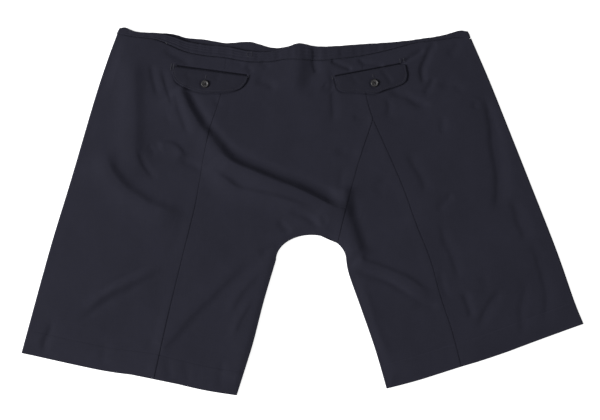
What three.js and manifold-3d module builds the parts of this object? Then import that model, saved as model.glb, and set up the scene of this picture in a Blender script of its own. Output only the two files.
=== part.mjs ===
// Wide cropped pants laid flat on a table, back side up, in millimetres.
// X runs across the pants, +Y towards the waist, +Z up; z = 0 is the table.
//
// Each leg is a flattened tube. Its front piece lies on the table, turns up round the outer
// fold and comes back over itself as far as the back seam, so it is one C-shaped wall. Three
// back pieces (seat, left leg and right leg) fill the space between the two back seams. A ring
// of waistband closes the top, and two buttoned flaps lie across the back seams.
import * as THREE from "three";
import { mergeVertices } from "three/addons/utils/BufferGeometryUtils.js";
import Module from "manifold-3d";

const wasm = await Module();
wasm.setup();

// ---------------------------------------------------------------- cloth
const CLOTH = 1.2; // wall of one ply of suiting
const BAND = 1.8; // wall of the waistband, cloth folded over elastic
const FLAP = 1.6; // wall of a pocket flap, two plies
const SEAM_GAP = 0.3; // between pieces that are sewn together
const LAY_GAP = 0.3; // between plies that lie on each other
const FLAP_LIFT = 0.6; // between a flap and the cloth it lies on
const EASE = 2.4; // how far the upper ply stands off the lower one in open cloth
const SLACK = 3.6; // most that it stands off: past this the cloth bunches and the wall thickens
const BUNCH = 1.8; // most that bunched cloth adds to a wall
const FOLD_RADIUS = 2.4; // outside radius of the turn at the outer edges
const FOLD_REACH = 22; // where the upper ply has left the roundness of that turn
const BAND_RADIUS = 2.7; // outside radius of the waistband's turn at its corners
const NAVY = 0x26262f;
const HORN = 0x3a3839;

// ---------------------------------------------------------------- plan of the laid garment
// Outer folds, inseams and seams, each from the waist towards the hem.
const OUTLINE = {
  outerLeft: [[-330, 314], [-347, 268], [-370, 198], [-412, 55], [-450, -70], [-500, -252.5]],
  outerRight: [
    [300, 307], [332, 233], [360.5, 162], [403, 55], [452, -70], [483.5, -160], [500, -200.5],
  ],
  inseamLeft: [[-47, -87], [-68, -158], [-86.5, -230], [-97, -265], [-117, -328]],
  inseamRight: [[77.5, -87], [83, -114], [105, -176], [129.5, -247], [149.5, -316]],
};
const SEAMS = {
  sideLeftUpper: [[-136, 273], [-145, 210], [-165, 148]],
  sideLeftLower: [[-165, 148], [-177, 91], [-191, 11], [-213, -78], [-239, -185], [-264, -297]],
  sideRightUpper: [[104, 276], [113, 205], [125, 163]],
  sideRightLower: [[125, 163], [174, 53], [202, -23], [227, -87], [245, -151], [266, -215], [282, -277]],
  seatToLeftLeg: [[-165, 148], [-151, 119], [-120, 98], [-31, 55], [49, 16], [77, 4]],
  gussetUpper: [[125, 163], [97, 78], [77, 4]],
  gussetLower: [[77, 4], [70, -24], [62, -57.7]],
};
const CROTCH = { x: 15.25, y: -87, halfWidth: 62.25, height: 44.3 }; // half ellipse between the inseams

// The waist from corner to corner: where each edge of the band lies at that x. The back edge
// dips below the front one left of centre, so a strip of the front band shows behind it.
const WAIST = [
  { x: -330, back: 322, seam: 314, front: 322 },
  { x: -316, back: 326.5, seam: 313, front: 326.5 },
  { x: -296, back: 319, seam: 310, front: 319 },
  { x: -259, back: 316, seam: 305, front: 317 },
  { x: -232, back: 310, seam: 294, front: 315 },
  { x: -205, back: 301, seam: 283, front: 308 },
  { x: -173, back: 295, seam: 277, front: 305 },
  { x: -136, back: 292, seam: 273, front: 299 },
  { x: -94, back: 284, seam: 266, front: 301 },
  { x: -56, back: 283, seam: 266, front: 291 },
  { x: -30, back: 290, seam: 270, front: 292 },
  { x: -6, back: 297, seam: 270, front: 299 },
  { x: 18, back: 293, seam: 269, front: 294 },
  { x: 46, back: 292, seam: 269, front: 293 },
  { x: 104, back: 296, seam: 276, front: 297 },
  { x: 152, back: 299, seam: 286, front: 300 },
  { x: 184, back: 302, seam: 295, front: 303 },
  { x: 206, back: 305, seam: 300, front: 306 },
  { x: 240, back: 310, seam: 304, front: 311 },
  { x: 262, back: 316, seam: 307, front: 316 },
  { x: 281, back: 321, seam: 309, front: 321 },
  { x: 300, back: 311, seam: 307, front: 311 },
];

// Hem lines from the outer corner to the inner one; they sag a little between.
const HEMS = {
  left: [
    [-500, -252.5], [-392, -276.5], [-340, -286.5], [-286, -293.5], [-264, -297], [-250, -301],
    [-179, -318], [-117, -328],
  ],
  right: [
    [500, -200.5], [419, -230], [360, -252], [312, -268], [282, -277], [206, -301], [149.5, -316],
  ],
};

// ---------------------------------------------------------------- folds in the upper ply
// rise is the height of a ridge, or less than 0 for a trough. width is where it has fallen to
// a third, and lean makes it steeper on the right of its path's direction (under 0: the left).
const FOLDS = [
  {
    name: "seat_drape_upper", rise: -2.6, width: 14, lean: 0.2,
    path: [[-222, 228], [-200, 192], [-160, 132]],
  },
  {
    name: "seat_drape", rise: -3.2, width: 15, lean: 0.3,
    path: [[-166, 150], [-151, 119], [-120, 98], [-31, 55], [74, 5]],
  },
  {
    name: "seat_drape_ridge", rise: 2.4, width: 17,
    path: [[-176, 100], [-129, 76], [-76, 53], [-22, 30], [50, -8]],
  },
  {
    name: "crotch_sweep", rise: -1.6, width: 14,
    path: [[-205, 84], [-138, 50], [-76, 31], [-22, 19], [14, 4], [34, -20]],
  },
  {
    name: "gusset_drape", rise: -3.0, width: 14, lean: -0.2,
    path: [[82, 44], [88, 10], [97, -22], [107, -54], [116, -78]],
  },
  {
    name: "gusset_ridge", rise: 1.8, width: 15,
    path: [[64, 40], [70, 0], [82, -36]],
  },
  {
    name: "right_inner_sweep", rise: -2.0, width: 14,
    path: [[112, -76], [140, -91], [170, -105], [212, -152]],
  },
  {
    name: "right_inner_low", rise: -1.3, width: 14,
    path: [[88, -107], [124, -112], [160, -129], [184, -154]],
  },
  {
    name: "right_inseam_roll", rise: -1.2, width: 15,
    path: [[104, -130], [121, -168], [134, -212], [170, -288]],
  },
  {
    name: "left_hip_drop", rise: -2.0, width: 15,
    path: [[-294, 260], [-293, 198], [-293, 120], [-262, 56]],
  },
  {
    name: "left_thigh_arc", rise: -2.2, width: 15, lean: 0.2,
    path: [[-354, 116], [-339, 82], [-316, 52], [-245, 9], [-198, -10]],
  },
  {
    name: "left_knee_roll", rise: 1.4, width: 18,
    path: [[-212, -92], [-272, -110], [-334, -146], [-380, -182]],
  },
  {
    name: "left_inner_sweep", rise: -1.7, width: 15,
    path: [[-44, -66], [-85, -84], [-138, -132], [-182, -180], [-248, -246]],
  },
  {
    name: "right_outer_drop", rise: -2.2, width: 15,
    path: [[320, 220], [328, 144], [337, 64], [379, -38], [420, -142], [420, -190]],
  },
  {
    name: "right_thigh_roll", rise: -1.4, width: 15,
    path: [[252, 30], [238, -8], [238, -52], [256, -96], [291, -187]],
  },
  {
    name: "right_knee_dent", rise: -1.4, width: 14,
    path: [[358, -138], [337, -164], [316, -206]],
  },
  {
    name: "right_hip_drop", rise: -1.6, width: 14,
    path: [[234, 290], [220, 270], [210, 246], [213, 218]],
  },
  {
    name: "centre_back_dent", rise: -1.9, width: 14,
    path: [[17, 292], [18, 264], [16, 236], [4, 212]],
  },
  {
    name: "left_hem_dent", rise: -1.2, width: 14,
    path: [[-440, -198], [-455, -224], [-462, -250]],
  },
];
const FADE = 0.25; // share of a fold's length over which it dies away at each end

// Where the plies are sewn or pressed together the upper one comes down.
const SETTLED = {
  inseam: { drop: 2.2, width: 20 },
  crotch: { drop: 2.2, width: 20 },
  hem: { drop: 1.4, width: 18 },
  waist: { drop: 1.2, width: 18 },
  seam: { drop: 0.4, width: 6 },
};

// ---------------------------------------------------------------- flaps and buttons
// The flap's free edge: how far below its sewn top edge, from its inner to its outer end.
const FLAP_EDGE = [
  { out: -67, depth: 4 },
  { out: -62, depth: 17 },
  { out: -54, depth: 25.5 },
  { out: -40, depth: 32 },
  { out: -5, depth: 38 },
  { out: 10, depth: 42 },
  { out: 28, depth: 40 },
  { out: 52, depth: 35 },
  { out: 63, depth: 29 },
  { out: 69, depth: 16 },
];
const FLAPS = [
  { name: "left", x: -164, y: 249, tilt: -7.6, outward: -1 },
  { name: "right", x: 117.5, y: 250, tilt: 10.8, outward: 1 },
];
const BUTTON = {
  radius: 7,
  thickness: 2.6,
  dish: 0.8,
  rim: 1.9,
  edge: 0.7,
  holeRadius: 0.9,
  holeOffset: 1.5,
  clearance: 0.4,
  out: 6,
  depth: 24,
};

// ---------------------------------------------------------------- how finely each piece is cut
const ROWS = { sideUpper: 6, seatDrape: 12, gussetLower: 4, sideLeftLower: 24, sideRightLower: 30 };
const COLS = { side: 12, seat: 15, rightLeg: 9, lower: 3, turn: 4 };
const CENTRE_FRONT_COLUMN = 10; // of the seat's columns, the one over the hidden front's seam
const LEG_ROWS = { inseamLeft: 13, crotchRight: 2, frontArc: 4, frontInseam: 11 };
const BAND_ROWS = 2;
const FLAP_GRID = { rows: 5, cols: 16 };
const BUTTON_SEGMENTS = 20;
const CURVE_STEPS = 24;
const TIP = 1.5; // the narrow ends of the seat and the right leg are this wide
const TIP_BACK = 3.5; // and are cut off this far from the seams' meeting point

// ================================================================ plan curves
function spline(knots, steps) {
  const points = knots.map(([x, y]) => new THREE.Vector2(x, y));
  return new THREE.SplineCurve(points).getSpacedPoints(steps);
}

// Joins stretches end to end, dropping the doubled points.
function chain(...stretches) {
  return stretches.flatMap((stretch, i) => (i === 0 ? stretch : stretch.slice(1)));
}

// y as a function of x along a row of points.
function lineOver(points) {
  const sorted = [...points].sort((a, b) => a.x - b.x);
  return (x) => {
    let i = 1;
    while (i < sorted.length - 1 && sorted[i].x < x) i++;
    const a = sorted[i - 1];
    const b = sorted[i];
    return THREE.MathUtils.lerp(a.y, b.y, (x - a.x) / (b.x - a.x));
  };
}

// Points on such a line from one point to another, which are kept as they are.
function between(first, last, line, steps) {
  const points = [];
  for (let i = 0; i <= steps; i++) {
    const x = THREE.MathUtils.lerp(first.x, last.x, i / steps);
    points.push(new THREE.Vector2(x, line(x)));
  }
  points[0] = first.clone();
  points[steps] = last.clone();
  return points;
}

function waistLine(edge) {
  const knots = WAIST.map((row) => [row.x, row[edge]]);
  return lineOver(spline(knots, WAIST.length * 8));
}

const waistBack = waistLine("back");
const waistSeam = waistLine("seam");
const waistFront = waistLine("front");
const hemLeft = lineOver(spline(HEMS.left, CURVE_STEPS * 2));
const hemRight = lineOver(spline(HEMS.right, CURVE_STEPS * 2));

function crotchArc(fromDegrees, toDegrees, steps) {
  const points = [];
  for (let i = 0; i <= steps; i++) {
    const angle = THREE.MathUtils.degToRad(THREE.MathUtils.lerp(fromDegrees, toDegrees, i / steps));
    const x = CROTCH.x + CROTCH.halfWidth * Math.cos(angle);
    const y = CROTCH.y + CROTCH.height * Math.sin(angle);
    points.push(new THREE.Vector2(x, y));
  }
  return points;
}

const crotchDegreesAt = (x) =>
  THREE.MathUtils.radToDeg(Math.acos((x - CROTCH.x) / CROTCH.halfWidth));
const GUSSET_DEGREES = crotchDegreesAt(SEAMS.gussetLower.at(-1)[0]);

// Unit vectors square to a row of points, on the right of its direction.
function normals(points) {
  return points.map((_, k) => {
    const before = points[Math.max(k - 1, 0)];
    const after = points[Math.min(k + 1, points.length - 1)];
    const tangent = after.clone().sub(before).normalize();
    return new THREE.Vector2(tangent.y, -tangent.x);
  });
}

// ================================================================ height of the upper ply
// How strongly a line is felt at (x, y): 1 on it, a third at its width, fading at its ends.
function influence({ line, width, lean = 0, fades = false }, x, y) {
  let nearest = { distance: Infinity, side: 1, along: 0 };
  for (let i = 1; i < line.length; i++) {
    const a = line[i - 1];
    const dx = line[i].x - a.x;
    const dy = line[i].y - a.y;
    const share = ((x - a.x) * dx + (y - a.y) * dy) / (dx * dx + dy * dy);
    const t = THREE.MathUtils.clamp(share, 0, 1);
    const distance = Math.hypot(x - a.x - t * dx, y - a.y - t * dy);
    if (distance < nearest.distance) {
      const side = Math.sign(dy * (x - a.x) - dx * (y - a.y)) || 1;
      nearest = { distance, side, along: (i - 1 + t) / (line.length - 1) };
    }
  }
  const reach = width * (1 - nearest.side * lean);
  const bell = Math.exp(-((nearest.distance / reach) ** 2));
  if (!fades) return bell;
  const start = THREE.MathUtils.smoothstep(nearest.along, 0, FADE);
  const end = THREE.MathUtils.smoothstep(1 - nearest.along, 0, FADE);
  return bell * start * end;
}

const folds = FOLDS.map((fold) => ({ ...fold, line: spline(fold.path, CURVE_STEPS), fades: true }));
const waistCorners = [WAIST[0], WAIST.at(-1)].map((row) => new THREE.Vector2(row.x, row.seam));
const settled = [
  { ...SETTLED.inseam, line: spline(OUTLINE.inseamLeft, CURVE_STEPS) },
  { ...SETTLED.inseam, line: spline(OUTLINE.inseamRight, CURVE_STEPS) },
  { ...SETTLED.crotch, line: crotchArc(0, 180, CURVE_STEPS) },
  { ...SETTLED.hem, line: spline(HEMS.left, CURVE_STEPS) },
  { ...SETTLED.hem, line: spline(HEMS.right, CURVE_STEPS) },
  { ...SETTLED.waist, line: between(waistCorners[0], waistCorners[1], waistSeam, 2 * CURVE_STEPS) },
  { ...SETTLED.seam, line: spline(chain(SEAMS.sideLeftUpper, SEAMS.sideLeftLower), CURVE_STEPS) },
  { ...SETTLED.seam, line: spline(chain(SEAMS.sideRightUpper, SEAMS.sideRightLower), CURVE_STEPS) },
];

// How far the upper ply stands off its lowest place at (x, y).
function loft(x, y) {
  const folded = folds.reduce((sum, fold) => sum + fold.rise * influence(fold, x, y), EASE);
  const drop = Math.max(...settled.map((place) => place.drop * influence(place, x, y)));
  const softness = 0.5; // rounds off the place where a trough meets the ply below
  const height = folded - drop;
  return Math.min((height + Math.hypot(height, softness)) / 2, SLACK + BUNCH);
}

// Heights of the upper ply's outer face and underside, over a lower ply of the same wall.
function upperPly(x, y, wall) {
  const lift = loft(x, y);
  const floor = wall + LAY_GAP;
  return { outer: floor + lift + wall, under: floor + Math.min(lift, SLACK) };
}

// ================================================================ walls of cloth
// A grid of plan points between four edges. left and right run from top to bottom, top and
// bottom from left to right.
function patch(left, right, top, bottom) {
  const rows = left.length - 1;
  const cols = top.length - 1;
  return left.map((_, j) =>
    top.map((__, i) => {
      const u = i / cols;
      const v = j / rows;
      const across = left[j].clone().lerp(right[j], u);
      const topBow = top[i].clone().sub(top[0].clone().lerp(top[cols], u));
      const bottomBow = bottom[i].clone().sub(bottom[0].clone().lerp(bottom[cols], u));
      return across.addScaledVector(topBow, 1 - v).addScaledVector(bottomBow, v);
    }),
  );
}

// Twice the plan area between a grid's corners, over 0 when the grid runs clockwise.
function handedness(grid) {
  const corners = [grid[0][0], grid[0].at(-1), grid.at(-1).at(-1), grid.at(-1)[0]];
  return -corners.reduce((sum, p, k) => sum + p.cross(corners[(k + 1) % corners.length]), 0);
}

// Moves the named edges of a grid in by half a seam's gap.
function trimSeams(grid, edges) {
  const sign = Math.sign(handedness(grid));
  const column = (i) => grid.map((row) => row[i]);
  const lines = {
    left: { points: column(0), inward: -sign },
    right: { points: column(grid[0].length - 1), inward: sign },
    top: { points: grid[0], inward: sign },
  };
  const moves = edges.flatMap((edge) => {
    const { points, inward } = lines[edge];
    const square = normals(points);
    return points.map((cell, k) => ({ cell, by: square[k].multiplyScalar((inward * SEAM_GAP) / 2) }));
  });
  moves.forEach(({ cell, by }) => cell.add(by));
  return grid;
}

// Six times the volume that the faces enclose; under 0 when they face inwards.
function enclosed(positions, faces) {
  const corner = (k) => new THREE.Vector3().fromArray(positions, 3 * k);
  let sum = 0;
  for (let f = 0; f < faces.length; f += 3) {
    const [a, b, c] = [corner(faces[f]), corner(faces[f + 1]), corner(faces[f + 2])];
    sum += a.dot(b.cross(c));
  }
  return sum;
}

// A closed solid between two grids of Vector3 with the same rows and columns. ring joins the
// last column to the first.
function wall(outer, inner, ring = false) {
  const rows = outer.length;
  const cols = outer[0].length;
  const positions = [...outer.flat(), ...inner.flat()].flatMap((p) => [p.x, p.y, p.z]);
  const out = (j, i) => j * cols + (i % cols);
  const inn = (j, i) => rows * cols + out(j, i);
  const faces = [];
  const quad = (a, b, c, d) => faces.push(a, b, c, a, c, d);
  const last = ring ? cols : cols - 1;
  for (let j = 0; j + 1 < rows; j++) {
    for (let i = 0; i < last; i++) {
      quad(out(j, i), out(j + 1, i), out(j + 1, i + 1), out(j, i + 1));
      quad(inn(j, i), inn(j, i + 1), inn(j + 1, i + 1), inn(j + 1, i));
    }
    if (!ring) {
      quad(out(j, 0), inn(j, 0), inn(j + 1, 0), out(j + 1, 0));
      quad(out(j, last), out(j + 1, last), inn(j + 1, last), inn(j, last));
    }
  }
  for (let i = 0; i < last; i++) {
    quad(out(0, i), out(0, i + 1), inn(0, i + 1), inn(0, i));
    quad(out(rows - 1, i), inn(rows - 1, i), inn(rows - 1, i + 1), out(rows - 1, i + 1));
  }
  const geometry = new THREE.BufferGeometry();
  geometry.setAttribute("position", new THREE.Float32BufferAttribute(positions, 3));
  geometry.setIndex(enclosed(positions, faces) > 0 ? faces : faces.reverse());
  geometry.computeVertexNormals();
  return geometry;
}

function raised(grid, height) {
  return grid.map((row) => row.map((p) => new THREE.Vector3(p.x, p.y, height(p.x, p.y))));
}

// ================================================================ back pieces
const seam = {
  sideLeftUpper: spline(SEAMS.sideLeftUpper, ROWS.sideUpper),
  sideLeftLower: spline(SEAMS.sideLeftLower, ROWS.sideLeftLower),
  sideRightUpper: spline(SEAMS.sideRightUpper, ROWS.sideUpper),
  sideRightLower: spline(SEAMS.sideRightLower, ROWS.sideRightLower),
  seatToLeftLeg: spline(SEAMS.seatToLeftLeg, ROWS.seatDrape),
  gussetUpper: spline(SEAMS.gussetUpper, ROWS.seatDrape),
  gussetLower: spline(SEAMS.gussetLower, ROWS.gussetLower),
};

function backPiece(left, right, top, bottom, seams) {
  const plan = trimSeams(patch(left, right, top, bottom), seams);
  return wall(
    raised(plan, (x, y) => upperPly(x, y, CLOTH).outer),
    raised(plan, (x, y) => upperPly(x, y, CLOTH).under),
  );
}

// The short blunt end of a piece whose seams meet at a point; towards runs into the piece.
function bluntEnd(meeting, towards, steps) {
  const middle = meeting.clone().addScaledVector(towards, TIP_BACK);
  const half = new THREE.Vector2(-towards.y, towards.x).multiplyScalar(TIP / 2);
  if (half.x < 0) half.negate();
  return new THREE.LineCurve(middle.clone().sub(half), middle.clone().add(half)).getPoints(steps);
}

function seatPiece() {
  const left = chain(seam.sideLeftUpper, seam.seatToLeftLeg);
  const right = chain(seam.sideRightUpper, seam.gussetUpper);
  const top = between(left[0], right[0], waistSeam, COLS.seat);
  const towards = new THREE.Vector2(-0.45, 1).normalize();
  const end = bluntEnd(left.at(-1), towards, COLS.seat);
  left[left.length - 1] = end[0];
  right[right.length - 1] = end.at(-1);
  return backPiece(left, right, top, end, ["left", "right", "top"]);
}

function leftLegPiece() {
  const left = seam.sideLeftLower;
  const crotchRows = ROWS.sideLeftLower - ROWS.gussetLower - LEG_ROWS.inseamLeft;
  const right = chain(
    seam.gussetLower,
    crotchArc(GUSSET_DEGREES, 180, crotchRows),
    spline(OUTLINE.inseamLeft, LEG_ROWS.inseamLeft),
  );
  const bottom = between(left.at(-1), right.at(-1), hemLeft, ROWS.seatDrape);
  return backPiece(left, right, seam.seatToLeftLeg, bottom, ["left", "right", "top"]);
}

function rightLegPiece() {
  const above = ROWS.seatDrape + ROWS.gussetLower + LEG_ROWS.crotchRight;
  const left = chain(
    seam.gussetUpper,
    seam.gussetLower,
    crotchArc(GUSSET_DEGREES, 0, LEG_ROWS.crotchRight),
    spline(OUTLINE.inseamRight, ROWS.sideRightLower - above),
  );
  const right = [...seam.sideRightLower];
  const towards = new THREE.Vector2(0.05, -1).normalize();
  const end = bluntEnd(left[0], towards, COLS.rightLeg);
  left[0] = end[0];
  right[0] = end.at(-1);
  const bottom = between(left.at(-1), right.at(-1), hemRight, COLS.rightLeg);
  return backPiece(left, right, end, bottom, ["left", "right"]);
}

// ================================================================ front pieces
// A section of the turn at an outer edge, from the table up, without its two ends.
function turnSection(centre, outwards, foldRadius, radius) {
  return Array.from({ length: COLS.turn - 1 }, (_, k) => {
    const angle = (Math.PI * (k + 1)) / COLS.turn;
    const at = centre.clone().addScaledVector(outwards, radius * Math.sin(angle));
    return new THREE.Vector3(at.x, at.y, foldRadius - radius * Math.cos(angle));
  });
}

// The outer folds as rows of points, and the line inside each where the turn starts.
const outerLeft = spline(OUTLINE.outerLeft, ROWS.sideUpper + ROWS.sideLeftLower);
const outerRight = spline(OUTLINE.outerRight, ROWS.sideUpper + ROWS.sideRightLower);

function turnOf(edge, outward) {
  const outwards = normals(edge).map((n) => n.multiplyScalar(-outward));
  const turnLine = edge.map((p, j) => p.clone().addScaledVector(outwards[j], -FOLD_RADIUS));
  return { outwards, turnLine };
}

// x of every column of cloth that meets the waistband, from corner to corner.
const waistColumns = (() => {
  const left = turnOf(outerLeft, -1).turnLine[0].x;
  const right = turnOf(outerRight, 1).turnLine[0].x;
  const stations = [left, SEAMS.sideLeftUpper[0][0], SEAMS.sideRightUpper[0][0], right];
  const stretches = [COLS.side, COLS.seat, COLS.side].map((count, k) =>
    Array.from({ length: count + 1 }, (_, i) =>
      THREE.MathUtils.lerp(stations[k], stations[k + 1], i / count),
    ),
  );
  return chain(...stretches);
})();
const CENTRE_COLUMN = COLS.side + CENTRE_FRONT_COLUMN;
const CENTRE_DEGREES = crotchDegreesAt(waistColumns[CENTRE_COLUMN]);

// The hidden seam between a front piece and the band, from the centre front to the corner.
function frontSeam(outward) {
  const corner = outward < 0 ? 0 : waistColumns.length - 1;
  return Array.from({ length: COLS.lower + 1 }, (_, i) => {
    const column = Math.round(THREE.MathUtils.lerp(CENTRE_COLUMN, corner, i / COLS.lower));
    const x = waistColumns[column];
    return new THREE.Vector2(x, waistFront(x) - waistBack(x) + waistSeam(x));
  });
}

// A front piece from the centre front and inseam, across the table, round the outer fold, to
// the back seam. outward is -1 on the left and 1 on the right.
function frontPiece({ edge, inseam, arcEnd, backSeam, hemLine, outward }) {
  const rows = edge.length - 1;
  const { outwards, turnLine } = turnOf(edge, outward);
  const arc = crotchArc(CENTRE_DEGREES, arcEnd, LEG_ROWS.frontArc);
  const waist = [...frontSeam(outward).slice(0, -1), turnLine[0]];
  const centreRows = rows - LEG_ROWS.frontArc - LEG_ROWS.frontInseam;
  const inner = chain(
    new THREE.LineCurve(waist[0], arc[0]).getPoints(centreRows),
    arc,
    spline(inseam, LEG_ROWS.frontInseam),
  );
  const lower = trimSeams(
    patch(
      inner,
      turnLine,
      waist,
      between(inner.at(-1), turnLine.at(-1), hemLine, COLS.lower),
    ),
    ["left", "top"],
  );
  const upper = trimSeams(
    patch(
      turnLine,
      backSeam,
      between(turnLine[0], backSeam[0], waistSeam, COLS.side),
      between(turnLine.at(-1), backSeam.at(-1), hemLine, COLS.side),
    ),
    ["right", "top"],
  );
  // Heights at the turn, blending into the ply's own away from it.
  const heights = (p, turn) => {
    const away = THREE.MathUtils.smoothstep(p.distanceTo(turn), 0, FOLD_REACH);
    const ply = upperPly(p.x, p.y, CLOTH);
    return {
      outer: THREE.MathUtils.lerp(2 * FOLD_RADIUS, ply.outer, away),
      under: THREE.MathUtils.lerp(2 * FOLD_RADIUS - CLOTH, ply.under, away),
    };
  };
  const section = (j, face, table, radius) => [
    ...lower[j].map((p) => new THREE.Vector3(p.x, p.y, table)),
    ...turnSection(upper[j][0], outwards[j], FOLD_RADIUS, radius),
    ...upper[j].map((p) => new THREE.Vector3(p.x, p.y, heights(p, upper[j][0])[face])),
  ];
  return wall(
    edge.map((_, j) => section(j, "outer", 0, FOLD_RADIUS)),
    edge.map((_, j) => section(j, "under", CLOTH, FOLD_RADIUS - CLOTH)),
  );
}

function frontLeftPiece() {
  return frontPiece({
    edge: outerLeft,
    inseam: OUTLINE.inseamLeft,
    arcEnd: 180,
    backSeam: chain(seam.sideLeftUpper, seam.sideLeftLower),
    hemLine: hemLeft,
    outward: -1,
  });
}

function frontRightPiece() {
  return frontPiece({
    edge: outerRight,
    inseam: OUTLINE.inseamRight,
    arcEnd: 0,
    backSeam: chain(seam.sideRightUpper, seam.sideRightLower),
    hemLine: hemRight,
    outward: 1,
  });
}

// ================================================================ waistband
// A flattened ring: across the front on the table, up round one corner, back across the upper
// ply and down round the other corner. Its columns are those of the pieces sewn to it.
function waistband() {
  const left = waistColumns[0];
  const right = waistColumns.at(-1);
  const frontSeamAt = lineOver([...frontSeam(-1), ...frontSeam(1).slice(1)]);
  const level = (top, bottom, x, v) => THREE.MathUtils.lerp(top(x), bottom(x) + SEAM_GAP / 2, v);
  const section = (v, face, table, radius) => {
    const frontY = (x) => level(waistFront, frontSeamAt, x, v);
    const backY = (x) => level(waistBack, waistSeam, x, v);
    const turn = (x, outward) =>
      turnSection(
        new THREE.Vector2(x, backY(x)),
        new THREE.Vector2(outward, 0),
        BAND_RADIUS,
        radius,
      );
    const heights = (x) => {
      const away = THREE.MathUtils.smoothstep(Math.min(x - left, right - x), 0, FOLD_REACH);
      const ply = upperPly(x, backY(x), BAND)[face];
      const atTurn = face === "outer" ? 2 * BAND_RADIUS : 2 * BAND_RADIUS - BAND;
      return THREE.MathUtils.lerp(atTurn, ply, away);
    };
    return [
      ...waistColumns.map((x) => new THREE.Vector3(x, frontY(x), table)),
      ...turn(right, 1),
      ...[...waistColumns].reverse().map((x) => new THREE.Vector3(x, backY(x), heights(x))),
      ...turn(left, -1).reverse(),
    ];
  };
  const rows = Array.from({ length: BAND_ROWS + 1 }, (_, j) => j / BAND_ROWS);
  return wall(
    rows.map((v) => section(v, "outer", 0, BAND_RADIUS)),
    rows.map((v) => section(v, "under", BAND, BAND_RADIUS - BAND)),
    true,
  );
}

// ================================================================ flaps and buttons
// A place on a flap: out from the middle of its top edge, and down from that edge.
function flapPoint(flap, out, depth) {
  const tilt = THREE.MathUtils.degToRad(flap.tilt);
  const along = out * flap.outward;
  return new THREE.Vector2(
    flap.x + along * Math.cos(tilt) + depth * Math.sin(tilt),
    flap.y + along * Math.sin(tilt) - depth * Math.cos(tilt),
  );
}

const flapUnderside = (x, y) => upperPly(x, y, CLOTH).outer + FLAP_LIFT;

function flapPiece(flap) {
  const edge = lineOver(spline(FLAP_EDGE.map(({ out, depth }) => [out, depth]), CURVE_STEPS));
  const middle = (FLAP_EDGE[0].out + FLAP_EDGE.at(-1).out) / 2;
  const half = FLAP_EDGE.at(-1).out - middle;
  const plan = [];
  for (let j = 0; j <= FLAP_GRID.rows; j++) {
    const row = [];
    for (let i = 0; i <= FLAP_GRID.cols; i++) {
      const out = middle - half * Math.cos((Math.PI * i) / FLAP_GRID.cols);
      row.push(flapPoint(flap, out, (edge(out) * j) / FLAP_GRID.rows));
    }
    plan.push(row);
  }
  return wall(
    raised(plan, (x, y) => flapUnderside(x, y) + FLAP),
    raised(plan, flapUnderside),
  );
}

function toSolid(geometry) {
  const bare = geometry.clone();
  bare.deleteAttribute("normal");
  bare.deleteAttribute("uv");
  const merged = mergeVertices(bare);
  return new wasm.Manifold(
    new wasm.Mesh({
      numProp: 3,
      vertProperties: merged.attributes.position.array,
      triVerts: new Uint32Array(merged.index.array),
    }),
  );
}

function fromSolid(solid) {
  const { vertProperties, triVerts } = solid.getMesh();
  const geometry = new THREE.BufferGeometry();
  geometry.setAttribute("position", new THREE.BufferAttribute(vertProperties, 3));
  geometry.setIndex(new THREE.BufferAttribute(triVerts, 1));
  geometry.computeVertexNormals();
  return geometry;
}

// A dished disc with a raised rim and four sewing holes, standing on z = 0.
function buttonBody() {
  const { radius, thickness, dish, rim, edge, holeRadius, holeOffset } = BUTTON;
  const profile = [
    [0, 0],
    [radius - 2 * edge, 0],
    [radius, edge],
    [radius, thickness - edge],
    [radius - edge, thickness],
    [radius - rim + edge, thickness],
    [radius - rim - edge, thickness - dish],
    [0, thickness - dish],
  ];
  const lathe = new THREE.LatheGeometry(
    profile.map(([r, z]) => new THREE.Vector2(r, z)),
    BUTTON_SEGMENTS,
  ).rotateX(Math.PI / 2);
  let body = toSolid(lathe);
  for (const [dx, dy] of [[1, 1], [1, -1], [-1, -1], [-1, 1]]) {
    const hole = new THREE.CylinderGeometry(holeRadius, holeRadius, 3 * thickness, 8)
      .rotateX(Math.PI / 2)
      .translate(dx * holeOffset, dy * holeOffset, 0);
    body = body.subtract(toSolid(hole));
  }
  return fromSolid(body);
}

// ================================================================ assembly
const suiting = () => new THREE.MeshStandardMaterial({ color: NAVY, roughness: 0.85, metalness: 0 });
const horn = () => new THREE.MeshStandardMaterial({ color: HORN, roughness: 0.4, metalness: 0 });

function piece(name, geometry, material) {
  const mesh = new THREE.Mesh(geometry, material);
  mesh.name = name;
  return mesh;
}

function flapWithButton(flap) {
  const group = new THREE.Group();
  group.add(piece(`flap_${flap.name}`, flapPiece(flap), suiting()));
  const seat = flapPoint(flap, BUTTON.out, BUTTON.depth);
  const rim = Array.from({ length: 12 }, (_, k) => (Math.PI * k) / 6);
  const highest = Math.max(
    ...rim.map((angle) =>
      flapUnderside(
        seat.x + BUTTON.radius * Math.cos(angle),
        seat.y + BUTTON.radius * Math.sin(angle),
      ),
    ),
  );
  const button = piece(`button_${flap.name}`, buttonBody(), horn());
  button.position.set(seat.x, seat.y, highest + FLAP + BUTTON.clearance);
  group.add(button);
  return group;
}

const pants = new THREE.Group();
pants.add(
  piece("front_left", frontLeftPiece(), suiting()),
  piece("front_right", frontRightPiece(), suiting()),
  piece("back_seat", seatPiece(), suiting()),
  piece("back_left_leg", leftLegPiece(), suiting()),
  piece("back_right_leg", rightLegPiece(), suiting()),
  piece("waistband", waistband(), suiting()),
  ...FLAPS.map(flapWithButton),
);

export default pants;
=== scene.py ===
"""Looks of the wide cropped pants, laid flat with the back up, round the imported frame.

The plan curves repeat those of the solids. Tables and heights are in millimetres; MM turns
them into metres. X runs across the pants, +Y towards the waist, +Z up; z = 0 is the table.
"""
import math

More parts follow.
